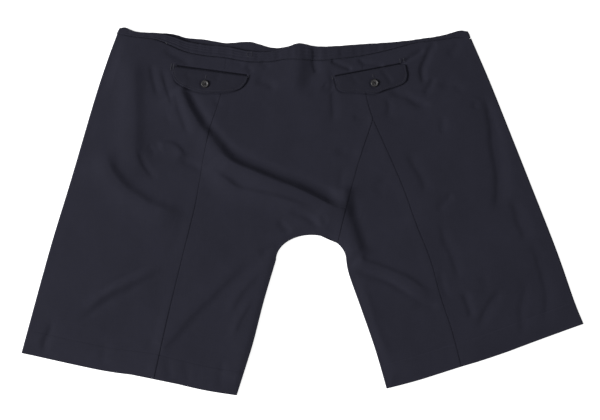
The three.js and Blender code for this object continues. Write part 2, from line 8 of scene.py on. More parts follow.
import bpy
import numpy as np
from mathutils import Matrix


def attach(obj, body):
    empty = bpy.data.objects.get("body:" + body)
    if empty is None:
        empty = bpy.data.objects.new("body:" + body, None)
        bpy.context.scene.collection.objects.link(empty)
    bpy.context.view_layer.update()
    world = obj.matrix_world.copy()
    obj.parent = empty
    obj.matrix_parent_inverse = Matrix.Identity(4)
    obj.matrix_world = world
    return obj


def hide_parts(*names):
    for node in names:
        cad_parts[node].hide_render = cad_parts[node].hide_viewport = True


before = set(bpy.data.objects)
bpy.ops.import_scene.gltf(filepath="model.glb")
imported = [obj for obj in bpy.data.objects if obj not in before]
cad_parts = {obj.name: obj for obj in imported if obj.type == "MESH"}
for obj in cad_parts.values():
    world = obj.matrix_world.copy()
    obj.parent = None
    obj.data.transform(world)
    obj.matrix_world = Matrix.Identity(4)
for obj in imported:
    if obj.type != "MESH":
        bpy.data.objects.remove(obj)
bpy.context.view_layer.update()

MM = 0.001
RNG = np.random.default_rng(7)

# ================ cloth
CLOTH = 1.2  # wall of one ply in the solids
SHELL = 0.8  # wall of one ply here
HEM_SHELL = 1.4  # wall of the turned-up hem
BAND = 1.8  # wall of the waistband
FLAP = 1.6  # wall of a pocket flap
HALF_GAP = 0.05  # from a seam's line to each piece sewn there
UNDERLAP = 3  # how far the lower ply's waist seam lies below the upper one's
LAY_GAP = 0.3
EASE = 2.4  # how far the upper ply stands off the lower one in open cloth
SOFT = 0.5  # rounds off the place where a trough meets the ply below
FOLD_RADIUS = 2.4
FOLD_REACH = 22
BAND_RADIUS = 2.7
EDGE_ROUND = 1.5  # rounding at the inseams and the crotch
HEM_ROUND = 0.7  # rounding at the hems
HEM_DEPTH = 42  # how far up the hem is turned
HEM_STEP = 0.3  # how much the turned-up part stands proud
HEM_FADE = 0.9  # half the width over which that part ends
HEM_REACH = 46  # beyond this a hem changes nothing
HEM_STITCH = {"above": 1.2, "width": 1.1, "depth": 0.18}  # the line sewn over its end
LEAST = 0.2  # thinnest wall, in the seams

# ================ plan of the laid garment
OUTLINE = {
    "outer_left": [(-330, 314), (-347, 268), (-370, 198), (-412, 55), (-450, -70), (-500, -252.5)],
    "outer_right": [
        (300, 307), (332, 233), (360.5, 162), (403, 55), (452, -70), (483.5, -160), (500, -200.5),
    ],
    "inseam_left": [(-47, -87), (-68, -158), (-86.5, -230), (-97, -265), (-117, -328)],
    "inseam_right": [(77.5, -87), (83, -114), (105, -176), (129.5, -247), (149.5, -316)],
}
SEAMS = {
    "side_left_upper": [(-136, 273), (-145, 210), (-165, 148)],
    "side_left_lower": [
        (-165, 148), (-177, 91), (-191, 11), (-213, -78), (-239, -185), (-264, -297),
    ],
    "side_right_upper": [(104, 276), (113, 205), (125, 163)],
    "side_right_lower": [
        (125, 163), (174, 53), (202, -23), (227, -87), (245, -151), (266, -215), (282, -277),
    ],
    "seat_to_left_leg": [(-165, 148), (-151, 119), (-120, 98), (-31, 55), (49, 16), (77, 4)],
    "gusset_upper": [(125, 163), (97, 78), (77, 4)],
    "gusset_lower": [(77, 4), (70, -24), (62, -57.7)],
}
CROTCH = {"x": 15.25, "y": -87, "half_width": 62.25, "height": 44.3}
# x, back edge, seam and front edge of the waistband, from corner to corner
WAIST = [
    (-330, 322, 314, 322), (-316, 326.5, 313, 326.5), (-296, 319, 310, 319), (-259, 316, 305, 317),
    (-232, 310, 294, 315), (-205, 301, 283, 308), (-173, 295, 277, 305), (-136, 292, 273, 299),
    (-94, 284, 266, 301), (-56, 283, 266, 291), (-30, 290, 270, 292), (-6, 297, 270, 299),
    (18, 293, 269, 294), (46, 292, 269, 293), (104, 296, 276, 297), (152, 299, 286, 300),
    (184, 302, 295, 303), (206, 305, 300, 306), (240, 310, 304, 311), (262, 316, 307, 316),
    (281, 321, 309, 321), (300, 317, 307, 317),
]
HEMS = {
    "left": [
        (-500, -252.5), (-392, -276.5), (-340, -286.5), (-286, -293.5), (-264, -297), (-250, -301),
        (-179, -318), (-117, -328),
    ],
    "right": [
        (500, -200.5), (419, -230), (360, -252), (312, -268), (282, -277), (206, -301), (149.5, -316),
    ],
}

# ================ folds in the upper ply
# rise of a ridge (under 0: a trough), width, lean (over 0: steeper on the right of its
# direction, under 0: on the left), share of its length over which it fades, at both ends or at
# each, and its path. A trough's path is where its shaded wall is seen.
FOLDS = [
    # the deep drape from the left flap to the crotch
    (4.2, 17, -0.5, (0.1, 0.55), [
        (-223, 224), (-213, 206), (-203, 186), (-192, 166), (-182, 149), (-172, 136), (-160, 121),
        (-150, 105), (-136, 93),
    ]),
    (7.9, 19, -0.66, (0.3, 0.17), [
        (-180, 148), (-169, 136), (-160, 124), (-150, 107), (-135, 93), (-116, 82), (-80, 67),
        (-44, 52), (-9, 39), (26, 22), (50, 9), (70, 0), (92, -10),
    ]),
    (-2.6, 9, 0, 0.1, [
        (-214, 224), (-203, 206), (-193, 186), (-181, 168), (-170, 152), (-157, 139), (-144, 122),
        (-128, 108), (-109, 97), (-75, 82), (-39, 67), (-3, 54), (33, 38), (60, 24), (74, 15),
    ]),
    (3.4, 13, -0.5, 0.22, [
        (-177, 73), (-158, 64), (-134, 53), (-115, 39), (-86, 32), (-40, 21), (10, 5), (28, -5),
    ]),
    (-1.9, 7, 0, 0.3, [(-33, -1), (-8, -5), (13, -17), (30, -36)]),
    (-0.8, 6, 0, 0.35, [(28, -3), (34, -14), (40, -27)]),
    (-1.3, 7, 0, 0.35, [(-47, -12), (-38, -27), (-22, -39)]),
    (-1.4, 9, 0, 0.3, [(-84, -78), (-62, -68), (-37, -58)]),
    # left hip
    (1.7, 70, 0.3, (0.15, 0.5), [(-322, 330), (-320, 262), (-317, 225), (-310, 180)]),
    (3.8, 21, -0.25, (0.22, 0.2), [
        (-300, 286), (-300, 215), (-299, 162), (-298, 109), (-290, 80), (-276, 62),
    ]),
    (-1.3, 6, 0.2, 0.3, [(-297, 116), (-289, 91), (-279, 73), (-262, 54)]),
    (-1.2, 6, 0.2, 0.25, [(-273, 265), (-270, 240), (-264, 215), (-261, 199)]),
    (-1.2, 6, 0.4, 0.3, [(-254, 258), (-250, 237), (-245, 219), (-238, 199), (-229, 182)]),
    (-1.3, 7, 0.25, 0.25, [(-231, 222), (-226, 192), (-217, 164), (-204, 130)]),
    (-0.4, 5, 0, 0.25, [(-248, 174), (-243, 164), (-238, 150)]),
    (2, 9, -0.5, 0.22, [(-261, 117), (-243, 120), (-227, 116), (-218, 107), (-207, 92)]),
    (-1.5, 8, 0, 0.35, [(-226, 97), (-209, 86), (-195, 80), (-174, 66)]),
    (-0.6, 5, 0, 0.25, [(-279, 118), (-271, 109), (-266, 98)]),
    (-1.5, 7, 0.15, 0.3, [(-254, 289), (-232, 276), (-209, 265), (-196, 259)]),
    (-0.8, 7, 0, 0.35, [(-134, 267), (-120, 264), (-106, 260)]),
    (-1.1, 6, 0, 0.35, [(-104, 262), (-98, 252), (-93, 242)]),
    (-0.9, 7, 0, 0.35, [(-80, 268), (-70, 260), (-64, 250)]),
    (-1.8, 8, 0.15, 0.35, [(-92, 232), (-67, 226), (-48, 215)]),
    (-0.7, 6, 0, 0.35, [(-161, 206), (-157, 194), (-152, 182)]),
    # left thigh and knee
    (4.4, 20, -0.5, 0.25, [
        (-362, 118), (-352, 96), (-342, 75), (-329, 56), (-311, 37), (-292, 25), (-273, 12), (-255, 5),
        (-229, -4), (-202, -16),
    ]),
    (2.2, 9, -0.2, 0.25, [
        (-245, -101), (-271, -110), (-307, -126), (-339, -141), (-366, -158), (-392, -180),
    ]),
    (-1.2, 7, 0, 0.25, [
        (-280, -126), (-307, -141), (-334, -153), (-360, -167), (-382, -183), (-407, -201),
    ]),
    (-0.9, 6, 0, 0.3, [(-257, -93), (-293, -105), (-325, -119), (-350, -133), (-378, -158)]),
    (1.6, 15, -0.45, (0.4, 0.06), [
        (-57, -66), (-89, -82), (-118, -105), (-146, -132), (-173, -159), (-194, -178), (-212, -198),
        (-232, -222), (-258, -250),
    ]),
    (-0.4, 9, 0, 0.25, [
        (-51, -64), (-106, -101), (-136, -130), (-166, -160), (-190, -187), (-211, -214), (-232, -238),
        (-254, -253),
    ]),
    (1.2, 9, -0.3, 0.3, [(-70, -103), (-97, -128), (-118, -155), (-136, -190)]),
    (1.1, 7, -0.3, 0.3, [(-88, -154), (-111, -190), (-128, -227)]),
    # left hem
    (-1.4, 7, 0.2, 0.35, [(-444, -190), (-455, -217), (-462, -235), (-464, -262)]),
    (-0.5, 9, 0, 0.3, [(-355, -221), (-357, -247), (-359, -284)]),
    (-0.6, 8, 0, 0.3, [(-214, -258), (-210, -281), (-207, -312)]),
    (-0.6, 8, 0, 0.3, [(-143, -256), (-147, -283), (-151, -322)]),
    (-0.7, 8, 0, 0.3, [(-245, -252), (-242, -277), (-240, -308)]),
    # crotch, the rise towards it and the left inseam, and the right inner leg
    (2.6, 40, 0, (0.12, 0.05), [
        (76, -6), (32, -34), (-8, -46), (-40, -80), (-62, -150), (-84, -230), (-108, -312),
    ]),
    (5.4, 20, -0.35, (0.1, 0.16), [(73, 48), (75, 19), (81, -13), (90, -38), (97, -62), (101, -88)]),
    (-1.6, 12, 0, 0.25, [(80, 36), (84, 4), (92, -24), (101, -50), (106, -78)]),
    (2.4, 11, -0.5, (0.1, 0.3), [
        (97, -76), (108, -89), (127, -96), (149, -104), (168, -112), (186, -120), (204, -132),
        (220, -147), (236, -159),
    ]),
    (-1.9, 6, 0, (0.15, 0.4), [
        (85, -108), (106, -110), (129, -118), (150, -126), (172, -139), (190, -151), (206, -164),
    ]),
    (1, 13, -0.35, 0.2, [(92, -123), (108, -144), (119, -169), (126, -198), (142, -238), (160, -269)]),
    (-0.9, 7, 0, 0.35, [(190, -158), (212, -165), (227, -168), (240, -163)]),
    (-0.6, 7, 0, 0.25, [(67, 82), (64, 50), (62, 25)]),
    (-0.7, 11, 0, 0.3, [(146, 70), (139, 50), (122, 30)]),
    # right outer leg
    (-2.4, 12, 0.38, (0.2, 0.18), [
        (319, 219), (327, 183), (333, 153), (336, 117), (342, 82), (345, 55), (344, 25), (341, -11),
    ]),
    (-1.4, 11, 0.38, 0.25, [(362, 27), (373, 9), (380, -16), (389, -37), (394, -60)]),
    (-0.8, 8, 0.4, 0.2, [
        (403, -52), (412, -78), (419, -105), (427, -135), (430, -164), (426, -190), (419, -206),
    ]),
    (-1.3, 9, 0.3, 0.25, [(181, 112), (193, 85), (206, 64), (213, 44), (214, 25)]),
    (-1, 7, 0, 0.25, [(266, 30), (248, 16), (236, -4)]),
    (-1, 8, 0.3, 0.25, [(238, -11), (245, -34), (250, -55), (261, -76), (270, -105), (279, -132)]),
    (-1.4, 7, 0.2, 0.25, [(280, -141), (287, -158), (295, -182), (295, -194)]),
    (-0.7, 6, 0, 0.25, [(241, -101), (245, -132), (257, -158)]),
    (-1.4, 8, 0.3, 0.25, [(355, -141), (337, -155), (328, -167), (316, -190), (307, -212)]),
    (-0.9, 8, 0.2, 0.25, [(391, -116), (391, -148), (384, -173), (387, -198), (384, -230)]),
    (-0.6, 9, 0, 0.35, [(318, -108), (321, -130), (321, -150)]),
    # right hip
    (-2.5, 7, 0, 0.25, [(147, 214), (165, 208), (179, 205), (191, 198), (206, 190), (227, 187)]),
    (-0.9, 6, 0.3, 0.3, [(143, 206), (149, 190), (149, 176), (144, 160)]),
    (-1, 6, 0, 0.25, [(84, 166), (102, 166), (120, 162)]),
    (-2.1, 6, 0.2, 0.15, [(234, 303), (223, 287), (216, 272), (209, 254), (209, 240), (213, 224)]),
    (-1.3, 6, 0, 0.25, [(231, 240), (222, 221), (211, 205)]),
    (-1.5, 8, 0, 0.35, [(232, 224), (254, 224), (270, 222), (288, 210)]),
    (-1, 8, 0.3, 0.3, [(275, 304), (266, 288), (252, 275)]),
    (-1.2, 8, 0, 0.35, [(50, 114), (63, 106), (79, 103), (102, 105)]),
    (-1.1, 7, 0.3, 0.25, [(47, 262), (49, 225), (50, 190), (52, 150)]),
    (-0.8, 7, 0, 0.25, [(245, 171), (245, 148), (238, 141)]),
    (-0.8, 6, 0, 0.25, [(304, 198), (303, 189), (302, 180)]),
    (-2, 4, 0, 0.15, [(45, 268), (63, 260), (85, 251)]),
    (-1.8, 4, 0, 0.15, [(93, 270), (106, 263), (124, 260), (142, 256)]),
    (-2, 4, 0, 0.2, [(168, 258), (178, 266), (196, 277), (214, 288)]),
    # centre back
    (3, 75, 0.33, (0.12, 0.5), [(-8, 325), (-8, 262), (-10, 225), (-14, 180)]),
    (1.8, 16, -0.3, (0.1, 0.45), [(-8, 300), (-7, 262), (-11, 236), (-20, 200)]),
    (-1.7, 7, 0.45, 0.15, [(14, 294), (17, 278), (16, 262), (22, 242)]),
    (-1.9, 16, 0.15, 0.35, [(16, 292), (15, 264), (12, 236), (2, 200)]),
    (-1, 8, 0, 0.25, [(31, 224), (40, 218), (49, 212)]),
]
SHADED_WALL = 4  # from the middle of a trough to its shaded wall, which faces right
LINE_STEPS = 24
WAVES = {"count": 36, "shortest": 16, "longest": 110, "height": 0.34}  # the cloth's slight unevenness

# Where the plies are sewn or pressed together the upper one comes down: drop and width.
SETTLED = {
    "inseam_left": (1.4, 7), "inseam_right": (2.0, 13), "crotch": (1.4, 8),
    "hem_left": (1.4, 18), "hem_right": (1.4, 18), "waist": (1.2, 18),
}
# At a seam the piece on the right of its direction, which has the allowances under it, stands
# proud of the other: from where to where that fades over the allowances, the groove's depth and
# width, the pucker's height, width and pitch, and the share of the seam over which all of it
# fades at its ends. Then how proud it stands at places along the seam, from start to end.
SEAM = {
    "allowance": (2, 20), "dent": 0.35, "width": 0.9, "pucker": 0.10, "pucker_width": 4, "pitch": 11,
    "reach": 24, "fade": 0.01,
}
SEAM_STEPS = {
    "side_left_upper": [0.1, 0.15, 0.3, 0.5],
    "side_left_lower": [0.7, 0.25, 0.15, 0.45, 0.5, 0.4, 0.4, 0.5, 0.65, 0.7, 0.7],
    "side_right_upper": [0.1, 0.3, 0.6],
    "side_right_lower": [0.6, 0.5, 0.45, 0.45, 0.4, 0.4, 0.45, 0.5],
    "seat_to_left_leg": [0.15, 0.05, 0.03, 0.02, 0.02],
    "gusset_upper": [0.6, 0.5, 0.45, 0.3, 0.5],
    "gusset_lower": [0.6, 0.6, 0.4],
}
WAIST_WIDTH = 1.5
WAIST_DEPTHS = [1.4, 1.9, 1.8, 1.5, 1.4, 1.6, 1.7, 1.4, 0.9]

# ================ flaps and buttons
# Where the middle of each top edge is, its slope in degrees, which way its outer end points and
# where the opening ends. "pressed" is the share of its marks' depth at its left end. The other
# tables are of pairs of out, from the middle of the top edge, and depth below that edge: the
# free edge, soft creases (rise, width and path) and, across the ends of the opening, rows of
# thread (out, and from and to a depth).
FLAPS = {
    "left": {
        "x": -164, "y": 249, "tilt": -7.6, "outward": -1, "slit": (-68, 61), "pressed": 0.1,
        "edge": [
            (-68, 3), (-65.5, 12.5), (-56.5, 24.5), (-39.5, 32.3), (-13, 37), (6, 39.6),
            (18, 38.8), (32, 36.5), (44, 33), (57, 27), (64, 18), (68, 7),
        ],
        "creases": [
            (-0.5, 6, [(-22, 2), (-14, 9), (-12, 18)]), (-0.35, 5, [(44, 6), (36, 16), (30, 26)]),
        ],
        "tacks": [(-68.8, -2.0, 4.0), (69.6, -3.5, 9.0), (65.2, -3.5, 6.5)],
    },
    "right": {
        "x": 117.5, "y": 250, "tilt": 10.8, "outward": 1, "slit": (-62, 60), "pressed": 0.7,
        "edge": [
            (-62, 3), (-61.5, 13), (-59, 23), (-50, 29), (-30, 33.5), (-13.5, 38), (3.5, 42.5),
            (13, 41.5), (23, 39.5), (46.5, 37), (57, 34), (62.5, 29.5), (66, 20),
        ],
        "creases": [
            (-0.9, 5, [(20, 2), (27, 12), (33, 24), (36, 36)]),
            (-0.4, 5, [(-34, 4), (-26, 14), (-24, 24)]),
        ],
        "tacks": [(-65.5, -2.0, 5.0), (58, -9.5, -2.0), (64.5, -9.0, -2.0)],
    },
}
FLAP_LIFT = 0.6  # over the panel, at the top
FLAP_SPRING = 1.1  # and how much more at the free edge
FLAP_CROWN = 0.4  # how much fuller a flap is away from its edge
FLAP_ROUND = 0.7  # rounding at its edge
TUCK = {"depth": 2.3, "width": 2.4}  # how its top goes into the opening
TOPSTITCH = {"in": 3.4, "depth": 0.22, "width": 0.9, "pitch": 3.0, "share": 0.7}
SLIT = {"depth": 2.2, "width": 1.6, "above": 0.8, "fade": 0.03}  # the opening over a flap
# Where a flap's edge presses on the panel: how deep, how wide and how far out, within what of the
# left end it grows to its full depth, and within what of the right end it is eased.
PRESSED = {"depth": 1.6, "width": 1.8, "out": 0.8, "grows": (1, 14), "eases": (20, 6), "eased": 0.6}
TACK = {"pitch": 0.55, "half": 0.95}  # rows of thread across the ends of the opening
TOP_CORNER = 7  # radius of a flap's top corner at its outer end
BUTTON = {
    "radius": 7, "thickness": 2.6, "dish": 0.9, "edge": 0.7, "bevel": 1.0, "hole": 0.9,
    "offset": 1.5, "clearance": 0.15, "out": 6, "depth": 24.5,
}
PULLED = {"depth": 0.7, "out": 0.8, "width": 1.7}  # the ring round a button, which its thread pulls in
BUTTONHOLE = {"above": 16, "pitch": 0.6, "rows": 11, "half": 1.3}

# ================ how finely each piece is cut
STEP = 2.0  # between rows and columns in open cloth
FRONT_STEP = 2.1  # the same in the fronts, which are the largest pieces
CLOSE = (0.3, 0.7, 1.2, 1.8, 2.6, 3.6)  # beside a seam, an edge or a stitched line
TURN_STEPS = 10
LOWER_COLUMNS = 5  # across the lower ply, which is flat
# where the flaps' edges lie in a panel: from, to, and the step there
FLAP_COLUMNS = {"left": (124, 146, 0.9), "right": (134, 154, 0.9)}
FLAP_ROWS = {"left": ((25, 43, 0.6), (43, 86, 1.5)), "right": ((22, 40, 0.6), (40, 80, 1.4))}
SEAT_COLUMNS = ((38, 54, 0.9), (212, 230, 0.9))
SEAT_ROWS = ((8, 27, 0.35), (27, 44, 0.8))
FLAP_CLOSE = np.array([0, 0.25, 0.6, 1.1])  # beside a flap's ends
FLAP_OUTS = 132
FLAP_SHARES = np.concatenate([
    [0, 0.012, 0.024, 0.036], np.linspace(0.05, 0.9, 36), [0.92, 0.94, 0.96, 0.975, 0.988, 0.995, 1],
])
DENSE = 40  # points to each stretch of a spline


# ================ plan curves
def spline(knots):
    """Dense points on a Catmull-Rom curve through the knots."""
    points = np.array(knots, float)
    padded = np.vstack([points[:1], points, points[-1:]])
    t = np.linspace(0, 1, DENSE, endpoint=False)[:, None]
    parts = []
    for a, b, c, d in zip(padded, padded[1:], padded[2:], padded[3:]):
        start, end = (c - a) / 2, (d - b) / 2
        cubic = 2 * b - 2 * c + start + end
        square = 3 * c - 3 * b - 2 * start - end
        parts.append(cubic * t**3 + square * t**2 + start * t + b)
    return np.vstack([*parts, points[-1:]])


def at(points, shares):
    """Points at shares of a polyline's length."""
    lengths = np.concatenate([[0], np.cumsum(np.hypot(*np.diff(points, axis=0).T))])
    places = np.asarray(shares) * lengths[-1]
    return np.column_stack([np.interp(places, lengths, points[:, k]) for k in (0, 1)])


def length_of(points):
    return float(np.hypot(*np.diff(points, axis=0).T).sum())


def evenly(points, steps):
    return at(points, np.linspace(0, 1, steps + 1))


def chain(*stretches):
    return np.vstack([stretches[0], *(s[1:] for s in stretches[1:])])


def normals(points):
    """Unit vectors square to a row of points, on the right of its direction."""
    tangent = np.gradient(points, axis=0)
    tangent /= np.maximum(np.hypot(*tangent.T), 1e-9)[:, None]
    return np.column_stack([tangent[:, 1], -tangent[:, 0]])


def moved(points, by):
    """A row of points moved to the right of its direction."""
    return points + by * normals(points)


def crotch_arc(from_degrees, to_degrees):
    angle = np.radians(np.linspace(from_degrees, to_degrees, 2 * DENSE))
    return np.column_stack([
        CROTCH["x"] + CROTCH["half_width"] * np.cos(angle),
        CROTCH["y"] + CROTCH["height"] * np.sin(angle),
    ])


def crotch_degrees(x):
    return math.degrees(math.acos((x - CROTCH["x"]) / CROTCH["half_width"]))


def over(points):
    """y as a function of x along a row of points."""
    ordered = points[np.argsort(points[:, 0])]
    return lambda x: np.interp(x, ordered[:, 0], ordered[:, 1])


curves = {name: spline(knots) for name, knots in {**OUTLINE, **SEAMS}.items()}
hem_over = {side: over(spline(knots)) for side, knots in HEMS.items()}
waist_back, waist_seam, waist_front = (
    over(spline([(row[0], row[k]) for row in WAIST])) for k in (1, 2, 3)
)
GUSSET_DEGREES = crotch_degrees(SEAMS["gusset_lower"][-1][0])


def between(first, last, line):
    """Dense points on such a line from one point to another."""
    x = np.linspace(first[0], last[0], 6 * DENSE)
    points = np.column_stack([x, line(x)])
    points[0], points[-1] = first, last
    return points


# ================ height of the upper ply
def nearest(line, x, y):
    """Distance to a polyline, the side it is on (1: right) and the share along it."""
    gap = np.full(x.shape, np.inf)
    side = np.ones(x.shape)
    share = np.zeros(x.shape)
    for k, (a, b) in enumerate(zip(line, line[1:])):
        dx, dy = b - a
        t = np.clip(((x - a[0]) * dx + (y - a[1]) * dy) / (dx * dx + dy * dy), 0, 1)
        far = np.hypot(x - a[0] - t * dx, y - a[1] - t * dy)
        closer = far < gap
        gap = np.where(closer, far, gap)
        side = np.where(closer, np.where(dy * (x - a[0]) - dx * (y - a[1]) < 0, -1, 1), side)
        share = np.where(closer, (k + t) / (len(line) - 1), share)
    return gap, side, share


def smooth(value, low, high):
    t = np.clip((value - low) / (high - low), 0, 1)
    return t * t * (3 - 2 * t)


def near(line, x, y, reach):
    """Which points are within reach of a line's bounding box."""
    low, high = line.min(0) - reach, line.max(0) + reach
    return (x > low[0]) & (x < high[0]) & (y > low[1]) & (y < high[1])


def bell(line, width, x, y, lean=0.0, fade=0.0):
    """1 on a line, a third at its width, fading at its ends over a share or two of its length."""
    result = np.zeros(x.shape)
    inside = near(line, x, y, 3 * width * (1 + abs(lean)))
    if not inside.any():
        return result
    gap, side, share = nearest(line, x[inside], y[inside])
    first, last = fade if isinstance(fade, tuple) else (fade, fade)
    ends = smooth(share, 0, max(first, 1e-6)) * smooth(1 - share, 0, max(last, 1e-6))
    result[inside] = ends * np.exp(-((gap / (width * (1 - side * lean * ends))) ** 2))
    return result


fold_lines = [
    evenly(spline(path), LINE_STEPS) + (SHADED_WALL if rise < 0 else 0, 0) for rise, *_, path in FOLDS
]
seam_lines = {name: evenly(curves[name], 2 * LINE_STEPS) for name in SEAMS}
waist_ends = [np.array([row[0], row[2]], float) for row in (WAIST[0], WAIST[-1])]
seam_lines["waist"] = evenly(between(*waist_ends, waist_seam), 4 * LINE_STEPS)
edge_lines = {
    "inseam_left": evenly(curves["inseam_left"], 2 * LINE_STEPS),
    "inseam_right": evenly(curves["inseam_right"], 2 * LINE_STEPS),
    "crotch": crotch_arc(0, 180),
    "hem_left": evenly(spline(HEMS["left"]), 2 * LINE_STEPS),
    "hem_right": evenly(spline(HEMS["right"]), 2 * LINE_STEPS),
    "waist": seam_lines["waist"],
}
wave_angles = RNG.uniform(0, math.pi, WAVES["count"])
wave_lengths = np.geomspace(WAVES["shortest"], WAVES["longest"], WAVES["count"])
wave_phases = RNG.uniform(0, 2 * math.pi, WAVES["count"])


def unevenness(x, y):
    total = np.zeros(x.shape)
    for angle, length, phase in zip(wave_angles, wave_lengths, wave_phases):
        turn = 2 * math.pi / length
        share = length / WAVES["longest"]
        total += share * np.sin(turn * (x * math.cos(angle) + y * math.sin(angle)) + phase)
    return WAVES["height"] * total / math.sqrt(WAVES["count"])


def lift(x, y):
    """How far the upper ply stands off its lowest place."""
    folded = EASE + unevenness(x, y)
    for (rise, width, lean, fade, _), line in zip(FOLDS, fold_lines):
        folded = folded + rise * bell(line, width, x, y, lean, fade)
    drop = np.zeros(x.shape)
    for name, (depth, width) in SETTLED.items():
        drop = np.maximum(drop, depth * bell(edge_lines[name], width, x, y))
    height = folded - drop
    return (height + np.hypot(height, SOFT)) / 2


def sewn(x, y):
    """How far the seams move the face: a step, a fine groove and some pucker."""
    total = np.zeros(x.shape)
    for name, line in seam_lines.items():
        inside = near(line, x, y, SEAM["reach"])
        if not inside.any():
            continue
        gap, side, share = nearest(line, x[inside], y[inside])
        if name == "waist":
            depth = np.interp(share, np.linspace(0, 1, len(WAIST_DEPTHS)), WAIST_DEPTHS)
            total[inside] -= depth * np.exp(-((gap / WAIST_WIDTH) ** 2))
            continue
        steps = SEAM_STEPS[name]
        step = np.interp(share, np.linspace(0, 1, len(steps)), steps)
        ends = smooth(share, 0, SEAM["fade"]) * smooth(1 - share, 0, SEAM["fade"])
        turns = length_of(line) / SEAM["pitch"]
        pucker = np.sin(2 * math.pi * (turns * share + 0.4 * np.sin(9 * share)))
        total[inside] += ends * (
            step * (side > 0) * (1 - smooth(gap, *SEAM["allowance"]))
            + step * SEAM["pucker"] * pucker * np.exp(-((gap / SEAM["pucker_width"]) ** 2))
            - step * SEAM["dent"] * np.exp(-((gap / SEAM["width"]) ** 2))
        )
    return total


def rounding(gap, radius):
    """How far a round edge has come down at a distance from it."""
    short = np.clip(1 - gap / radius, 0, 1)
    return radius * (1 - np.sqrt(1 - short**2))


def flap_dips(x, y):
    """The openings from which the flaps hang, and the marks that their edges press."""
    total = np.zeros(x.shape)
    for flap in FLAPS.values():
        ends = np.array([flap_point(flap, out, -SLIT["above"]) for out in flap["slit"]])
        outs = flap_outs(flap)
        outline = np.vstack([
            np.column_stack([outs, flap_edge(flap, outs)]), [outs[-1], TOP_CORNER],
            [outs[-1] - TOP_CORNER / 3, TOP_CORNER / 3], [outs[-1] - TOP_CORNER, 0],
        ])
        outline = moved(evenly(outline, 3 * DENSE), -PRESSED["out"])
        edge = flap_point(flap, outline[:, 0], outline[:, 1])
        total -= SLIT["depth"] * bell(ends, SLIT["width"], x, y, fade=SLIT["fade"])
        least = flap["pressed"]
        grown = smooth(x, *(edge[:, 0].min() + far for far in PRESSED["grows"]))
        eased = smooth(x, *(edge[:, 0].max() - far for far in PRESSED["eases"]))
        share = (least + (1 - least) * grown) * (1 - PRESSED["eased"] * eased)
        total -= share * PRESSED["depth"] * bell(edge, PRESSED["width"], x, y)
    return np.maximum(total, -SLIT["depth"])


def upper_ply(x, y):
    """Heights of the upper ply's outer face and underside."""
    smooth_face = CLOTH + LAY_GAP + lift(x, y) + CLOTH
    turned_up = np.zeros(x.shape)
    edge = np.zeros(x.shape)
    for name, line in edge_lines.items():
        if name == "waist" or not near(line, x, y, HEM_REACH).any():
            continue
        gap, _, _ = nearest(line, x, y)
        if name.startswith("hem"):
            turned_up = np.maximum(turned_up, smooth(HEM_DEPTH + HEM_FADE - gap, 0, 2 * HEM_FADE))
            stitch = np.exp(-(((gap - HEM_DEPTH - HEM_STITCH["above"]) / HEM_STITCH["width"]) ** 2))
            edge += rounding(gap, HEM_ROUND) + HEM_STITCH["depth"] * stitch
        else:
            edge += rounding(gap, EDGE_ROUND)
    smooth_face = smooth_face + HEM_STEP * turned_up
    outer = smooth_face + sewn(x, y) + flap_dips(x, y) - edge
    wall = SHELL + (HEM_SHELL - SHELL) * turned_up
    under = np.minimum(smooth_face - wall, outer - LEAST)
    return outer, np.maximum(under, SHELL + LEAST)


# ================ walls of cloth
def stations(length, step, ends=(True, True), inner=(), fine=()):
    """Shares along an edge: even steps, closer at its ends, inner places and fine stretches."""
    centres = [c for c, wanted in zip((0.0, length), ends) if wanted] + list(inner)
    even = np.linspace(0, length, max(int(length / step), 2) + 1)
    for start, end, small in fine:
        outside = even[(even < start) | (even > end)]
        even = np.sort(np.concatenate([outside, np.arange(start, end, small)]))
    if centres:
        far = np.abs(even[:, None] - np.array(centres)[None, :]).min(1) > CLOSE[-1]
        close = [c + sign * d for c in centres for d in (0, *CLOSE) for sign in (-1, 1)]
        even = np.concatenate([even[far], [d for d in close if 0 <= d <= length]])
    places = np.unique(np.round(np.concatenate([even, [0, length]]), 4))
    return places / length


def patch(left, right, top, bottom, u, v):
    """A grid of plan points between four edges, of v's rows and u's columns."""
    left, right = at(left, v), at(right, v)
    top_line, bottom_line = at(top, u), at(bottom, u)
    across = u[None, :, None]
    down = v[:, None, None]
    top_bow = top_line - (top_line[:1] * (1 - u[:, None]) + top_line[-1:] * u[:, None])
    bottom_bow = bottom_line - (bottom_line[:1] * (1 - u[:, None]) + bottom_line[-1:] * u[:, None])
    flat = left[:, None, :] * (1 - across) + right[:, None, :] * across
    return flat + top_bow[None] * (1 - down) + bottom_bow[None] * down


def mesh_object(name, vertices, faces, smooth_shaded=True):
    """An object from points in millimetres and faces."""
    mesh = bpy.data.meshes.new(name)
    mesh.from_pydata((np.asarray(vertices) * MM).tolist(), [], [list(f) for f in faces])
    mesh.validate()
    mesh.polygons.foreach_set("use_smooth", [smooth_shaded] * len(mesh.polygons))
    mesh.update()
    obj = bpy.data.objects.new(name, mesh)
    bpy.context.scene.collection.objects.link(obj)
    return obj


def enclosed(vertices, quads):
    """Six times the volume that quads enclose; under 0 when they face inwards."""
    a, b, c, d = (vertices[quads[:, k]] for k in range(4))
    return float((a * np.cross(b, c)).sum() + (a * np.cross(c, d)).sum())


